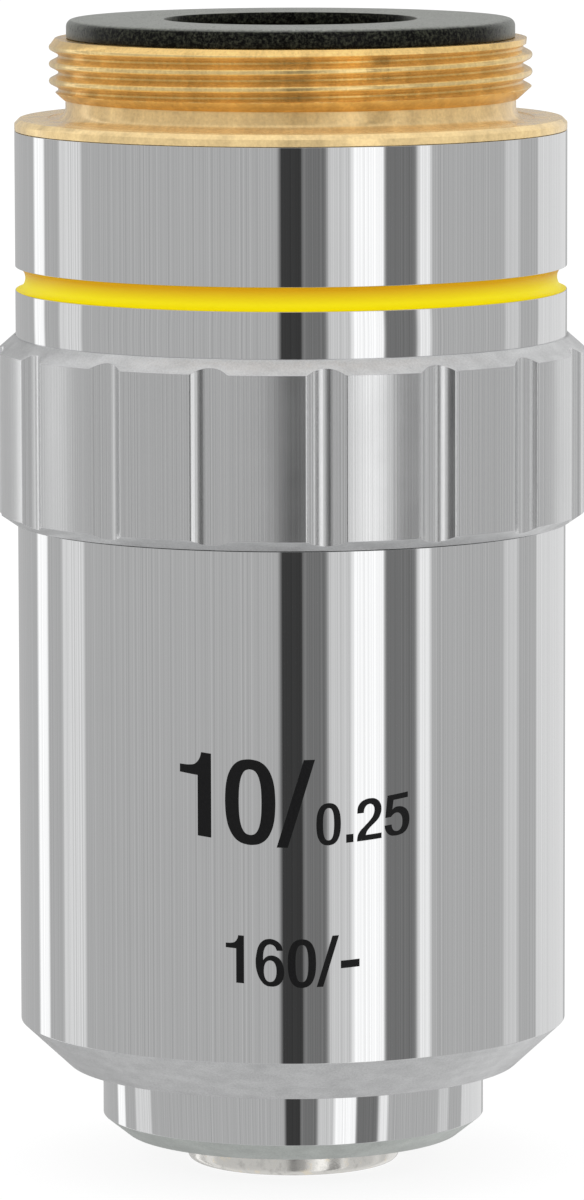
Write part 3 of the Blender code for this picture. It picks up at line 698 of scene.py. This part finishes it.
def turn(outline, steps):
    """Spin a closed outline of (radius, height, edge break) points about the axis."""
    bm = bmesh.new()
    corners = [bm.verts.new((point[0], 0.0, point[1])) for point in outline]
    for first, second in zip(corners, corners[1:] + corners[:1]):
        if first.co.x > 0.0 or second.co.x > 0.0:
            bm.edges.new((first, second))
    breaks = {}
    for corner, point in zip(corners, outline):
        if len(point) > 2:
            breaks.setdefault(point[2], []).append(corner)
    for width, group in breaks.items():
        bmesh.ops.bevel(
            bm, geom=group, offset=width, offset_type="OFFSET", segments=BREAK_STEPS, profile=0.5,
            affect="VERTICES", material=-1, clamp_overlap=True)
    bmesh.ops.spin(
        bm, geom=bm.verts[:] + bm.edges[:], cent=(0.0, 0.0, 0.0), axis=(0.0, 0.0, 1.0),
        dvec=(0.0, 0.0, 0.0), angle=math.tau, steps=steps, use_merge=True, use_normal_flip=False,
        use_duplicate=False)
    bmesh.ops.remove_doubles(bm, verts=bm.verts, dist=NO_WIDTH)
    bmesh.ops.recalc_face_normals(bm, faces=bm.faces)
    return bm


def new_mesh(name, bm):
    mesh = bpy.data.meshes.new(name)
    bm.to_mesh(mesh)
    bm.free()
    return mesh


def add_object(name, data):
    obj = bpy.data.objects.new(name, data)
    bpy.context.scene.collection.objects.link(obj)
    return obj


def finish_piece(name, bm, finishes, replaced, pick=None):
    """Make the piece, smooth it, give its faces their finishes and tie it to the frame."""
    if pick is not None:
        for face in bm.faces:
            middle = face.calc_center_median()
            face.material_index = pick(math.hypot(middle.x, middle.y), middle.z, face.normal)
    mesh = new_mesh(name, bm)
    for make in finishes:
        mesh.materials.append(finish(make))
    mesh.shade_smooth()
    mesh.set_sharp_from_angle(angle=SHARP_ANGLE)
    obj = add_object(name, mesh)
    weighted = obj.modifiers.new("even_walls", "WEIGHTED_NORMAL")
    weighted.mode = "FACE_AREA"
    weighted.weight = 100
    weighted.keep_sharp = True
    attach(obj, "root")
    if replaced:
        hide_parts(replaced)


def thread_radius(mount, turned, height):
    """Radius of the thread's surface, from flanks that meet in round crests and roots."""
    pitch = INCH / mount.turns
    rise = pitch * (turned + math.pi / 2.0) / math.tau
    phase = (height - CREST_AT_FRONT - rise) / pitch
    away = abs(phase - round(phase)) * pitch
    inward = pitch / 2.0 - away
    slope = 1.0 / math.tan(FLANK_ANGLE)
    crest_reach = mount.crest_round * math.cos(FLANK_ANGLE)
    root_reach = mount.root_round * math.cos(FLANK_ANGLE)
    crest_foot = THREAD_RADIUS - mount.crest_round * (1.0 - math.sin(FLANK_ANGLE))
    if away < crest_reach:
        return THREAD_RADIUS - mount.crest_round + math.sqrt(mount.crest_round ** 2 - away ** 2)
    if inward < root_reach:
        flank_foot = crest_foot - slope * (pitch / 2.0 - crest_reach - root_reach)
        hollow = mount.root_round * math.sin(FLANK_ANGLE) - math.sqrt(mount.root_round ** 2 - inward ** 2)
        return flank_foot + hollow
    return crest_foot - slope * (away - crest_reach)


def flute_floor(sleeve, off_centre):
    """Distance from the axis of a flute's surface, at an angle from the flute's middle."""
    cutter = GRIP_RADIUS - sleeve.flute_depth + sleeve.flute_radius
    across = sleeve.flute_radius ** 2 - (cutter * math.sin(off_centre)) ** 2
    if across <= 0.0:
        return GRIP_RADIUS + sleeve.flute_radius
    return cutter * math.cos(off_centre) - math.sqrt(across)


def grip_radius(sleeve, off_centre):
    """Radius of the grip at an angle from the nearest flute, with softened flute edges."""
    floor = flute_floor(sleeve, off_centre)
    overlap = max(sleeve.flute_edge - abs(GRIP_RADIUS - floor), 0.0) / sleeve.flute_edge
    return min(GRIP_RADIUS, floor) - overlap ** 2 * sleeve.flute_edge / 4.0


def set_round(vert, radius, turned):
    """Move a vertex to a distance from the axis and a direction round it, at its own height."""
    vert.co.x = radius * math.cos(turned)
    vert.co.y = radius * math.sin(turned)


def glass_outline(node, foot_curve, top_curve, rim):
    """Closed outline of a lens from its lower vertex out to the rim and back to its upper vertex."""
    points = [v.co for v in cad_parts[node].data.vertices]
    near = [point.z for point in points if math.hypot(point.x, point.y) < AXIS_REACH]
    radii = [rim * ring / LENS_RINGS for ring in range(LENS_RINGS + 1)]
    lower = [(radius, min(near) + sag(foot_curve, radius)) for radius in radii]
    upper = [(radius, max(near) + sag(top_curve, radius)) for radius in radii]
    return lower + upper[::-1]


def round_loop(centre, half_width, half_height, fullness):
    """Smooth closed loop, fuller than an ellipse."""
    loop = []
    for point in range(LOOP_POINTS):
        turned = math.tau * (point + 0.5) / LOOP_POINTS
        across = math.copysign(abs(math.cos(turned)) ** (2.0 / fullness), math.cos(turned))
        up = math.copysign(abs(math.sin(turned)) ** (2.0 / fullness), math.sin(turned))
        loop.append((centre[0] + half_width * across, centre[1] + half_height * up, 0))
    return loop


def number_loops(character):
    """Closed loops of a character, its outline and the hole inside it."""
    if character == "0":
        return [round_loop(*loop) for loop in ZERO_LOOPS]
    if character == "6":
        return [SIX, round_loop(*SIX_HOLE)]
    return [OUTLINES[character]]


def number_flat(character):
    """Flat filled mesh of a character, in a box of one by one."""
    curve = bpy.data.curves.new("number", "CURVE")
    curve.dimensions = "2D"
    curve.fill_mode = "BOTH"
    curve.resolution_u = CURVE_STEPS
    for loop in number_loops(character):
        spline = curve.splines.new("BEZIER")
        spline.use_cyclic_u = True
        spline.bezier_points.add(len(loop) - 1)
        for point, (x, y, corner) in zip(spline.bezier_points, loop):
            point.co = (x, y, 0.0)
            point.handle_left_type = "VECTOR" if corner else "AUTO"
            point.handle_right_type = "VECTOR" if corner else "AUTO"
    holder = add_object("number", curve)
    graph = bpy.context.evaluated_depsgraph_get()
    flat = bpy.data.meshes.new_from_object(holder.evaluated_get(graph))
    bm = bmesh.new()
    bm.from_mesh(flat)
    bmesh.ops.remove_doubles(bm, verts=bm.verts, dist=LOOP_MERGE)
    bpy.data.objects.remove(holder)
    bpy.data.meshes.remove(flat)
    bpy.data.curves.remove(curve)
    return bm


def add_number(target, character, left, right, rise, height, line):
    """Size one character, give it thickness, and wrap it round the barrel into the target mesh."""
    bm = number_flat(character)
    proud = settings().numbers.proud
    bmesh.ops.scale(bm, verts=bm.verts, vec=((right - left) * MM, height * MM, 1.0))
    bmesh.ops.translate(bm, verts=bm.verts, vec=(left * MM, rise * MM, 0.0))
    cut = math.ceil(left * MM / NUMBER_CUT) * NUMBER_CUT
    while cut < right * MM:
        bmesh.ops.bisect_plane(
            bm, geom=bm.verts[:] + bm.edges[:] + bm.faces[:], plane_co=(cut, 0.0, 0.0),
            plane_no=(1.0, 0.0, 0.0), dist=NO_WIDTH)
        cut += NUMBER_CUT
    made = bmesh.ops.extrude_face_region(bm, geom=bm.faces[:])
    raised = [part for part in made["geom"] if isinstance(part, bmesh.types.BMVert)]
    bmesh.ops.translate(bm, verts=raised, vec=(0.0, 0.0, proud + NUMBER_SUNK))
    for vert in bm.verts:
        radius = BARREL_RADIUS - NUMBER_SUNK + vert.co.z
        turned = vert.co.x / BARREL_RADIUS
        height_here = line + vert.co.y + LINE_BOW * vert.co.x ** 2
        vert.co = (radius * math.sin(turned), -radius * math.cos(turned), height_here)
    bmesh.ops.recalc_face_normals(bm, faces=bm.faces)
    part = new_mesh("number", bm)
    target.from_mesh(part)
    bpy.data.meshes.remove(part)


def number_line(name, characters, line):
    bm = bmesh.new()
    for character, left, right, rise, height in characters:
        add_number(bm, character, left, right, rise, height, line)
    finish_piece(name, bm, [number_paint], None)


class OBJECTIVE_OT_stop_ring(bpy.types.Operator):
    """Turn the black ring with its flared rear opening"""
    bl_idname = "objective.stop_ring"
    bl_label = "Stop Ring"
    bl_options = {"REGISTER", "UNDO"}

    def execute(self, context):
        stop = context.scene.objective.stop
        foot = STOP_TOP - stop.height
        rim_centre = (STOP_RADIUS - stop.rim_round, STOP_TOP - stop.rim_round)
        outline = [
            (stop.hole_radius + stop.hole_flare, PLUG_FOOT, FINE_BREAK),
            (STOP_PLUG_RADIUS, PLUG_FOOT, EDGE_BREAK),
            (STOP_PLUG_RADIUS, foot),
            (STOP_RADIUS, foot, EDGE_BREAK),
            *arc(rim_centre, stop.rim_round, 0.0, 90.0, ROUND_STEPS),
            (stop.hole_radius, STOP_TOP, EDGE_BREAK),
            (stop.hole_radius, STOP_TOP - STOP_LIP, FINE_BREAK),
        ]
        ring = turn(outline, FINE_STEPS)
        finish_piece("black_stop_ring", ring, [black_coating], "rear_stop_ring")
        return {"FINISHED"}


class OBJECTIVE_OT_brass_mount(bpy.types.Operator):
    """Turn the brass mount and cut its screw thread"""
    bl_idname = "objective.brass_mount"
    bl_label = "Brass Mount"
    bl_options = {"REGISTER", "UNDO"}

    def execute(self, context):
        mount = context.scene.objective.mount
        relief = SHOULDER - SHOULDER_RELIEF
        thread_height = MOUNT_TOP - THREAD_CHAMFER - THREAD_FOOT
        rows = [
            (THREAD_RADIUS, THREAD_FOOT + thread_height * row / THREAD_ROWS)
            for row in range(THREAD_ROWS + 1)
        ]
        plug_seat = PLUG_FOOT - END_ROOM
        socket_top = MOUNT_FOOT + MOUNT_SOCKET_DEPTH
        fillet_centre = (NECK_RADIUS + mount.neck_fillet, relief + mount.neck_fillet)
        outline = [
            (MOUNT_SOCKET_RADIUS, MOUNT_FOOT, EDGE_BREAK),
            (MOUNT_SPIGOT_RADIUS, MOUNT_FOOT, EDGE_BREAK),
            (MOUNT_SPIGOT_RADIUS, FLANGE_FOOT),
            (SLEEVE_RADIUS, FLANGE_FOOT, EDGE_BREAK),
            (SLEEVE_RADIUS, SHOULDER - mount.flange_chamfer, FINE_BREAK),
            (SLEEVE_RADIUS - mount.flange_chamfer, SHOULDER, FINE_BREAK),
            (THREAD_RADIUS + 2.0 * RADIAL_FIT, SHOULDER),
            (THREAD_RADIUS + RADIAL_FIT, relief),
            *arc(fillet_centre, mount.neck_fillet, 270.0, 180.0, FILLET_STEPS),
            (NECK_RADIUS, THREAD_FOOT, FINE_BREAK),
            *rows,
            (THREAD_RADIUS - THREAD_CHAMFER, MOUNT_TOP, FINE_BREAK),
            (STOP_PLUG_RADIUS + RADIAL_FIT, MOUNT_TOP, FINE_BREAK),
            (STOP_PLUG_RADIUS + RADIAL_FIT, plug_seat),
            (LIGHT_BORE_RADIUS, plug_seat, FINE_BREAK),
            (LIGHT_BORE_RADIUS, socket_top, FINE_BREAK),
            (MOUNT_SOCKET_RADIUS, socket_top),
        ]
        bm = turn(outline, THREAD_STEPS)
        for vert in bm.verts:
            outside = math.hypot(vert.co.x, vert.co.y) > THREAD_RADIUS - NO_WIDTH
            if not outside or vert.co.z < THREAD_FOOT - NO_WIDTH:
                continue
            turned = math.atan2(vert.co.y, vert.co.x)
            radius = min(
                thread_radius(mount, turned, vert.co.z),
                THREAD_RADIUS - THREAD_CHAMFER + (MOUNT_TOP - vert.co.z),
                NECK_RADIUS + NECK_TOP_CONE + (vert.co.z - THREAD_FOOT) * THREAD_RUN_OUT)
            set_round(vert, radius, turned)
        bmesh.ops.recalc_face_normals(bm, faces=bm.faces)

        def pick(radius, height, normal):
            return 1 if radius > STOP_PLUG_RADIUS + 2.0 * RADIAL_FIT and height > THREAD_FOOT else 0

        finish_piece(
            "brass_mount", bm, [turned_brass, threaded_brass], "thread_mount", pick)
        return {"FINISHED"}


class OBJECTIVE_OT_fluted_sleeve(bpy.types.Operator):
    """Turn the sleeve with its colour groove and cut the flutes of its grip"""
    bl_idname = "objective.fluted_sleeve"
    bl_label = "Fluted Sleeve"
    bl_options = {"REGISTER", "UNDO"}

    def execute(self, context):
        sleeve = context.scene.objective.sleeve
        spigot_room = BARREL_SPIGOT_TOP + END_ROOM
        mount_room = MOUNT_FOOT - END_ROOM
        crown = SLEEVE_FOOT + sleeve.grip_length
        crown_foot = crown - sleeve.crown_height
        foot_top = SLEEVE_FOOT + sleeve.foot_height
        groove_centre = (SLEEVE_RADIUS, SLEEVE_FOOT + GROOVE_HEIGHT)
        groove = arc(groove_centre, sleeve.groove_radius, 270.0, 90.0, GROOVE_STEPS)
        outline = [
            (JOINT_SPIGOT_RADIUS + RADIAL_FIT, SLEEVE_FOOT, FINE_BREAK),
            (GRIP_RADIUS - sleeve.foot_width, SLEEVE_FOOT, FINE_BREAK),
            (GRIP_RADIUS, foot_top, FINE_BREAK),
            (GRIP_RADIUS, crown_foot, FINE_BREAK),
            (SLEEVE_RADIUS + CROWN_LAND, crown, FINE_BREAK),
            (SLEEVE_RADIUS, crown),
            (*groove[0], FINE_BREAK),
            *groove[1:-1],
            (*groove[-1], FINE_BREAK),
            (SLEEVE_RADIUS, SLEEVE_TOP, FINE_BREAK),
            (MOUNT_SPIGOT_RADIUS + RADIAL_FIT, SLEEVE_TOP, FINE_BREAK),
            (MOUNT_SPIGOT_RADIUS + RADIAL_FIT, mount_room),
            (SLEEVE_LAND_RADIUS, mount_room, FINE_BREAK),
            (SLEEVE_LAND_RADIUS, spigot_room, FINE_BREAK),
            (JOINT_SPIGOT_RADIUS + RADIAL_FIT, spigot_room),
        ]
        bm = turn(outline, sleeve.flutes * COLUMNS_PER_FLUTE)
        pitch = math.tau / sleeve.flutes
        widest = math.degrees(pitch) / 2.0
        angles = [part * widest / COLUMN_ANGLES[-1] for part in COLUMN_ANGLES]
        crown_slope = sleeve.crown_height / (GRIP_RADIUS - SLEEVE_RADIUS - CROWN_LAND)
        foot_slope = sleeve.foot_height / sleeve.foot_width
        for vert in bm.verts:
            radius = math.hypot(vert.co.x, vert.co.y)
            if radius < SLEEVE_RADIUS + CROWN_LAND / 2.0 or vert.co.z > crown + NO_WIDTH:
                continue
            place = math.atan2(vert.co.y, vert.co.x) / pitch
            share = place % 1.0
            off_centre = share if share <= 0.5 else share - 1.0
            packed = math.radians(np.interp(abs(off_centre), COLUMN_SHARES, angles))
            nearest = round(place - off_centre)
            turned = sleeve.flute_turn + nearest * pitch + math.copysign(packed, off_centre)
            if radius > GRIP_RADIUS - sleeve.foot_width / 5.0:
                sunk = GRIP_RADIUS - grip_radius(sleeve, packed)
                radius -= sunk
                if vert.co.z > crown_foot - 2.0 * FINE_BREAK:
                    vert.co.z += sunk * crown_slope
                elif vert.co.z < foot_top + 2.0 * FINE_BREAK:
                    vert.co.z -= sunk * foot_slope
            set_round(vert, radius, turned)
        bmesh.ops.recalc_face_normals(bm, faces=bm.faces)

        def pick(radius, height, normal):
            if radius < SLEEVE_RADIUS + NO_WIDTH or height > crown + FINE_BREAK:
                return 0
            return 1 if abs(normal.z) > SATIN_SLOPE else 2

        finish_piece(
            "fluted_sleeve", bm, [polished_chrome, satin_chamfer, drawn_chrome],
            "grip_sleeve", pick)
        return {"FINISHED"}


class OBJECTIVE_OT_enamel_band(bpy.types.Operator):
    """Fill the round groove with enamel"""
    bl_idname = "objective.enamel_band"
    bl_label = "Enamel Band"
    bl_options = {"REGISTER", "UNDO"}

    def execute(self, context):
        sleeve = context.scene.objective.sleeve
        centre = (SLEEVE_RADIUS, SLEEVE_FOOT + GROOVE_HEIGHT)
        reach = sleeve.groove_radius - SEAT_GAP / 4.0
        hidden = arc(centre, reach, 270.0 - ENAMEL_WRAP, 90.0 + ENAMEL_WRAP, GROOVE_STEPS)
        shown = [
            (centre[0] - (centre[0] - radius) * sleeve.enamel_depth / reach, height)
            for radius, height in hidden
        ]
        band = turn(hidden + shown[::-1], FINE_STEPS)
        finish_piece("enamel_band", band, [filled_enamel], "colour_ring")
        return {"FINISHED"}


class OBJECTIVE_OT_long_barrel(bpy.types.Operator):
    """Turn the long barrel with the satin cone at its foot"""
    bl_idname = "objective.long_barrel"
    bl_label = "Long Barrel"
    bl_options = {"REGISTER", "UNDO"}

    def execute(self, context):
        barrel = context.scene.objective.barrel
        cone_top = BARREL_FACE + barrel.cone_height
        barrel_top = SLEEVE_FOOT - SEAM_GAP
        floor_top = BARREL_FACE + BARREL_FLOOR
        outline = [
            (NOSE_RADIUS + RADIAL_FIT, BARREL_FACE, FINE_BREAK),
            (BARREL_RADIUS - barrel.cone_width, BARREL_FACE, FINE_BREAK),
            (BARREL_RADIUS, cone_top, FINE_BREAK),
            (BARREL_RADIUS, barrel_top, FINE_BREAK),
            (JOINT_SPIGOT_RADIUS, barrel_top),
            (JOINT_SPIGOT_RADIUS, BARREL_SPIGOT_TOP, EDGE_BREAK),
            (BARREL_BORE, BARREL_SPIGOT_TOP, EDGE_BREAK),
            (BARREL_BORE, floor_top),
            (NOSE_RADIUS + RADIAL_FIT, floor_top, FINE_BREAK),
        ]

        def pick(radius, height, normal):
            return 1 if height < cone_top and radius > NOSE_RADIUS and normal.z < -SATIN_SLOPE else 0

        finish_piece(
            "long_barrel", turn(outline, FINE_STEPS), [polished_chrome, satin_chamfer],
            "marked_barrel", pick)
        return {"FINISHED"}


class OBJECTIVE_OT_nose_tube(bpy.types.Operator):
    """Turn the body tube, of which the nose shows below the barrel"""
    bl_idname = "objective.nose_tube"
    bl_label = "Nose Tube"
    bl_options = {"REGISTER", "UNDO"}

    def execute(self, context):
        barrel = context.scene.objective.barrel
        chamfer_top = NOSE_FACE + barrel.nose_height
        flange_foot = BARREL_FACE + BARREL_FLOOR + SEAT_GAP
        floor_top = NOSE_FACE + NOSE_FLOOR
        bore = STACK_RADIUS + RADIAL_FIT
        outline = [
            (CELL_RADIUS + RADIAL_FIT, NOSE_FACE, FINE_BREAK),
            (NOSE_RADIUS - barrel.nose_width, NOSE_FACE, FINE_BREAK),
            (NOSE_RADIUS, chamfer_top, FINE_BREAK),
            (NOSE_RADIUS, flange_foot),
            (BODY_TUBE_RADIUS, flange_foot, EDGE_BREAK),
            (BODY_TUBE_RADIUS, BODY_SHOULDER, EDGE_BREAK),
            (UPPER_TUBE_RADIUS, BODY_SHOULDER),
            (UPPER_TUBE_RADIUS, TUBE_TOP, EDGE_BREAK),
            (bore, TUBE_TOP, EDGE_BREAK),
            (bore, floor_top),
            (CELL_RADIUS + RADIAL_FIT, floor_top),
        ]

        def pick(radius, height, normal):
            if radius < bore + RADIAL_FIT and height > floor_top:
                return 2
            return 1 if height < chamfer_top and normal.z < -SATIN_SLOPE else 0

        finish_piece(
            "nose_tube", turn(outline, FINE_STEPS), [polished_chrome, nose_satin, blackened_metal],
            "body_tube", pick)
        return {"FINISHED"}


class OBJECTIVE_OT_tip_cell(bpy.types.Operator):
    """Turn the small front cell, with its rounded rim and recessed mouth"""
    bl_idname = "objective.tip_cell"
    bl_label = "Tip Cell"
    bl_options = {"REGISTER", "UNDO"}

    def execute(self, context):
        rim_round = context.scene.objective.barrel.cell_round
        flange_foot = NOSE_FACE + NOSE_FLOOR + SEAT_GAP
        rim_inner = CELL_RADIUS - rim_round - CELL_RIM_LAND
        lens_bore = FRONT_LENS_RADIUS + RADIAL_FIT
        outline = [
            (rim_inner, 0.0, FINE_BREAK),
            *arc((CELL_RADIUS - rim_round, rim_round), rim_round, 270.0, 360.0, ROUND_STEPS),
            (CELL_RADIUS, flange_foot),
            (STACK_RADIUS, flange_foot, EDGE_BREAK),
            (STACK_RADIUS, CELL_TOP, EDGE_BREAK),
            (lens_bore + CELL_EXIT_FLARE, CELL_TOP, FINE_BREAK),
            (lens_bore, CELL_TOP - CELL_EXIT_FLARE, FINE_BREAK),
            (lens_bore, CELL_SEAT_DEPTH),
            (CELL_SEAT_RADIUS, CELL_SEAT_DEPTH, FINE_BREAK),
            (CELL_SEAT_RADIUS, CELL_MOUTH_DEPTH, FINE_BREAK),
        ]

        def pick(radius, height, normal):
            return 1 if height > flange_foot or (radius < rim_inner and height > NO_WIDTH) else 0

        finish_piece(
            "tip_cell", turn(outline, FINE_STEPS), [worn_cell, blackened_metal],
            "front_cell", pick)
        return {"FINISHED"}


class OBJECTIVE_OT_lenses(bpy.types.Operator):
    """Grind the front lens and the field lens, the two that can be seen from outside"""
    bl_idname = "objective.lenses"
    bl_label = "Lenses"
    bl_options = {"REGISTER", "UNDO"}

    def execute(self, context):
        pairs = (
            ("tip_glass", "front_lens", FRONT_LENS_FOOT_CURVE, FRONT_LENS_TOP_CURVE, FRONT_LENS_RADIUS),
            ("rear_glass", "field_lens", FIELD_LENS_FOOT_CURVE, FIELD_LENS_TOP_CURVE, LENS_RADIUS),
        )
        for name, node, foot_curve, top_curve, rim in pairs:
            lens = turn(glass_outline(node, foot_curve, top_curve, rim), INNER_STEPS)
            finish_piece(name, lens, [coated_glass], node)
        return {"FINISHED"}


class OBJECTIVE_OT_numbers(bpy.types.Operator):
    """Paint the two lines of numbers on the front of the barrel"""
    bl_idname = "objective.numbers"
    bl_label = "Numbers"
    bl_options = {"REGISTER", "UNDO"}

    def execute(self, context):
        numbers = context.scene.objective.numbers
        number_line("power_numbers", POWER_NUMBERS, numbers.power_line)
        number_line("tube_numbers", TUBE_NUMBERS, numbers.tube_line)
        return {"FINISHED"}


class OBJECTIVE_OT_inner_pieces(bpy.types.Operator):
    """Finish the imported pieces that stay: cells, retainers, spacers, inner lenses and screws"""
    bl_idname = "objective.inner_pieces"
    bl_label = "Inner Pieces"
    bl_options = {"REGISTER", "UNDO"}

    def execute(self, context):
        for node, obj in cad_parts.items():
            if obj.hide_render:
                continue
            make = blackened_metal
            if node.startswith("grub_screw"):
                make = screw_steel
            elif node.endswith(("crown", "flint")):
                make = coated_glass
            elif node == "parfocal_ring":
                make = turned_brass
            obj.data.materials.clear()
            obj.data.materials.append(finish(make))
        return {"FINISHED"}


def studio_world():
    """White surround, even soft light, and the set of cards and flags that the metal mirrors."""
    world = bpy.data.worlds.new("studio")
    bpy.context.scene.world = world
    world.use_nodes = True
    world.cycles.sampling_method = "NONE"
    tree = world.node_tree
    tree.nodes.clear()
    direction = get_node(tree, "ShaderNodeTexCoord").outputs["Generated"]
    turned = direction_round(tree, direction)
    cards = grey(SURROUND_LEVEL)
    for middle, width, level in CARDS:
        away = maths(tree, "ABSOLUTE", maths(tree, "SUBTRACT", turned, math.radians(middle)))
        inside = math.radians(width - CARD_EDGE) / 2.0
        cover = map_range(tree, away, inside, inside + math.radians(CARD_EDGE), 1.0, 0.0)
        cards = blend_colour(tree, cover, cards, grey(level))
    lines = lengthwise_lines(tree, turned, math.degrees(1.0) / SET_LINE_WIDTH, 3.0)
    shades = map_range(tree, lines, 0.25, 0.75, 1.0 - SET_LINES / 2.0, 1.0 + SET_LINES / 2.0)
    cards = multiplied(tree, cards, shades)
    height = upward_part(tree, direction)
    over = map_range(tree, height, WALL_TOP, CEILING_FOOT)
    under = map_range(tree, height, -CEILING_FOOT, -WALL_TOP, 1.0, 0.0)
    cards = blend_colour(tree, over, cards, grey(ZENITH_LEVEL))
    cards = blend_colour(tree, under, cards, grey(NADIR_LEVEL))
    soft = maths(tree, "MULTIPLY_ADD", height, DIFFUSE_LEAN, DIFFUSE_LEVEL)
    rays = get_node(tree, "ShaderNodeLightPath").outputs
    lit = blend_colour(tree, rays["Is Diffuse Ray"], cards, soft)
    seen = blend_colour(tree, rays["Is Camera Ray"], lit, grey(1.0))
    background = get_node(tree, "ShaderNodeBackground", {"Color": seen, "Strength": 1.0})
    output = get_node(tree, "ShaderNodeOutputWorld")
    tree.links.new(background.outputs[0], output.inputs["Surface"])


def pale_floor(name):
    """Matt floor with a glow of its own, clear from below."""
    studio = settings().studio
    material = bpy.data.materials.new(name)
    material.use_nodes = True
    material.cycles.emission_sampling = "NONE"
    tree = material.node_tree
    tree.nodes.clear()
    matt = get_node(tree, "ShaderNodeBsdfDiffuse", {"Color": rgba(studio.floor_colour)})
    glow = get_node(tree, "ShaderNodeEmission", {"Strength": studio.floor_glow})
    both = get_node(tree, "ShaderNodeAddShader", {0: matt.outputs[0], 1: glow.outputs[0]})
    clear = get_node(tree, "ShaderNodeBsdfTransparent")
    back = get_node(tree, "ShaderNodeNewGeometry").outputs["Backfacing"]
    shown = get_node(tree, "ShaderNodeMixShader", {0: back, 1: both.outputs[0], 2: clear.outputs[0]})
    output = get_node(tree, "ShaderNodeOutputMaterial")
    tree.links.new(shown.outputs[0], output.inputs["Surface"])
    return material


def studio_floor():
    """Wide pale floor that keeps the objective's soft shadow."""
    bm = bmesh.new()
    bmesh.ops.create_circle(
        bm, cap_ends=True, segments=FLOOR_STEPS, radius=settings().studio.floor_radius)
    bmesh.ops.translate(bm, verts=bm.verts, vec=(0.0, 0.0, -FLOOR_DROP))
    mesh = new_mesh("floor", bm)
    mesh.materials.append(finish(pale_floor))
    floor = add_object("floor", mesh)
    floor.visible_glossy = False


def studio_camera():
    """Long lens in front of the objective, looking slightly down."""
    studio = settings().studio
    data = bpy.data.cameras.new("camera")
    data.lens = studio.lens
    data.sensor_width = SENSOR_WIDTH
    data.clip_start = CLIP_NEAR
    data.clip_end = CLIP_FAR
    camera = add_object("camera", data)
    camera.location = (0.0, -studio.distance, studio.height)
    level = Matrix.Rotation(math.pi / 2.0 - studio.pitch, 3, "X")
    camera.rotation_euler = (level @ Matrix.Rotation(studio.roll, 3, "Z")).to_euler()
    bpy.context.scene.camera = camera


class OBJECTIVE_OT_stage(bpy.types.Operator):
    """Set up the studio: light, floor and camera"""
    bl_idname = "objective.stage"
    bl_label = "Stage"
    bl_options = {"REGISTER", "UNDO"}

    def execute(self, context):
        context.scene.view_settings.view_transform = "Standard"
        studio_world()
        studio_floor()
        studio_camera()
        return {"FINISHED"}


PIECES = (
    OBJECTIVE_OT_stop_ring,
    OBJECTIVE_OT_brass_mount,
    OBJECTIVE_OT_fluted_sleeve,
    OBJECTIVE_OT_enamel_band,
    OBJECTIVE_OT_long_barrel,
    OBJECTIVE_OT_nose_tube,
    OBJECTIVE_OT_tip_cell,
    OBJECTIVE_OT_lenses,
    OBJECTIVE_OT_numbers,
    OBJECTIVE_OT_inner_pieces,
    OBJECTIVE_OT_stage,
)


class OBJECTIVE_PT_pieces(bpy.types.Panel):
    """Sizes and colours of the objective, and the operators that make its pieces"""
    bl_label = "Objective"
    bl_idname = "OBJECTIVE_PT_pieces"
    bl_space_type = "VIEW_3D"
    bl_region_type = "UI"
    bl_category = "Objective"

    def draw(self, context):
        sizes = context.scene.objective
        for group in (sizes.mount, sizes.stop, sizes.sleeve, sizes.barrel, sizes.numbers, sizes.studio):
            box = self.layout.box()
            for key in group.bl_rna.properties.keys():
                if key not in {"rna_type", "name"}:
                    box.prop(group, key)
        column = self.layout.column(align=True)
        for piece in PIECES:
            column.operator(piece.bl_idname)


CLASSES = (
    MountSettings, StopSettings, SleeveSettings, BarrelSettings, NumberSettings, StudioSettings,
    ObjectiveSettings, *PIECES, OBJECTIVE_PT_pieces,
)


def register():
    for item in CLASSES:
        bpy.utils.register_class(item)
    bpy.types.Scene.objective = PointerProperty(
        type=ObjectiveSettings, name="Objective", description="Sizes and colours of the objective")


def unregister():
    del bpy.types.Scene.objective
    for item in reversed(CLASSES):
        bpy.utils.unregister_class(item)


def main():
    register()
    bpy.ops.objective.stop_ring()
    bpy.ops.objective.brass_mount()
    bpy.ops.objective.fluted_sleeve()
    bpy.ops.objective.enamel_band()
    bpy.ops.objective.long_barrel()
    bpy.ops.objective.nose_tube()
    bpy.ops.objective.tip_cell()
    bpy.ops.objective.lenses()
    bpy.ops.objective.numbers()
    bpy.ops.objective.inner_pieces()
    bpy.ops.objective.stage()


if __name__ == "__main__":
    main()
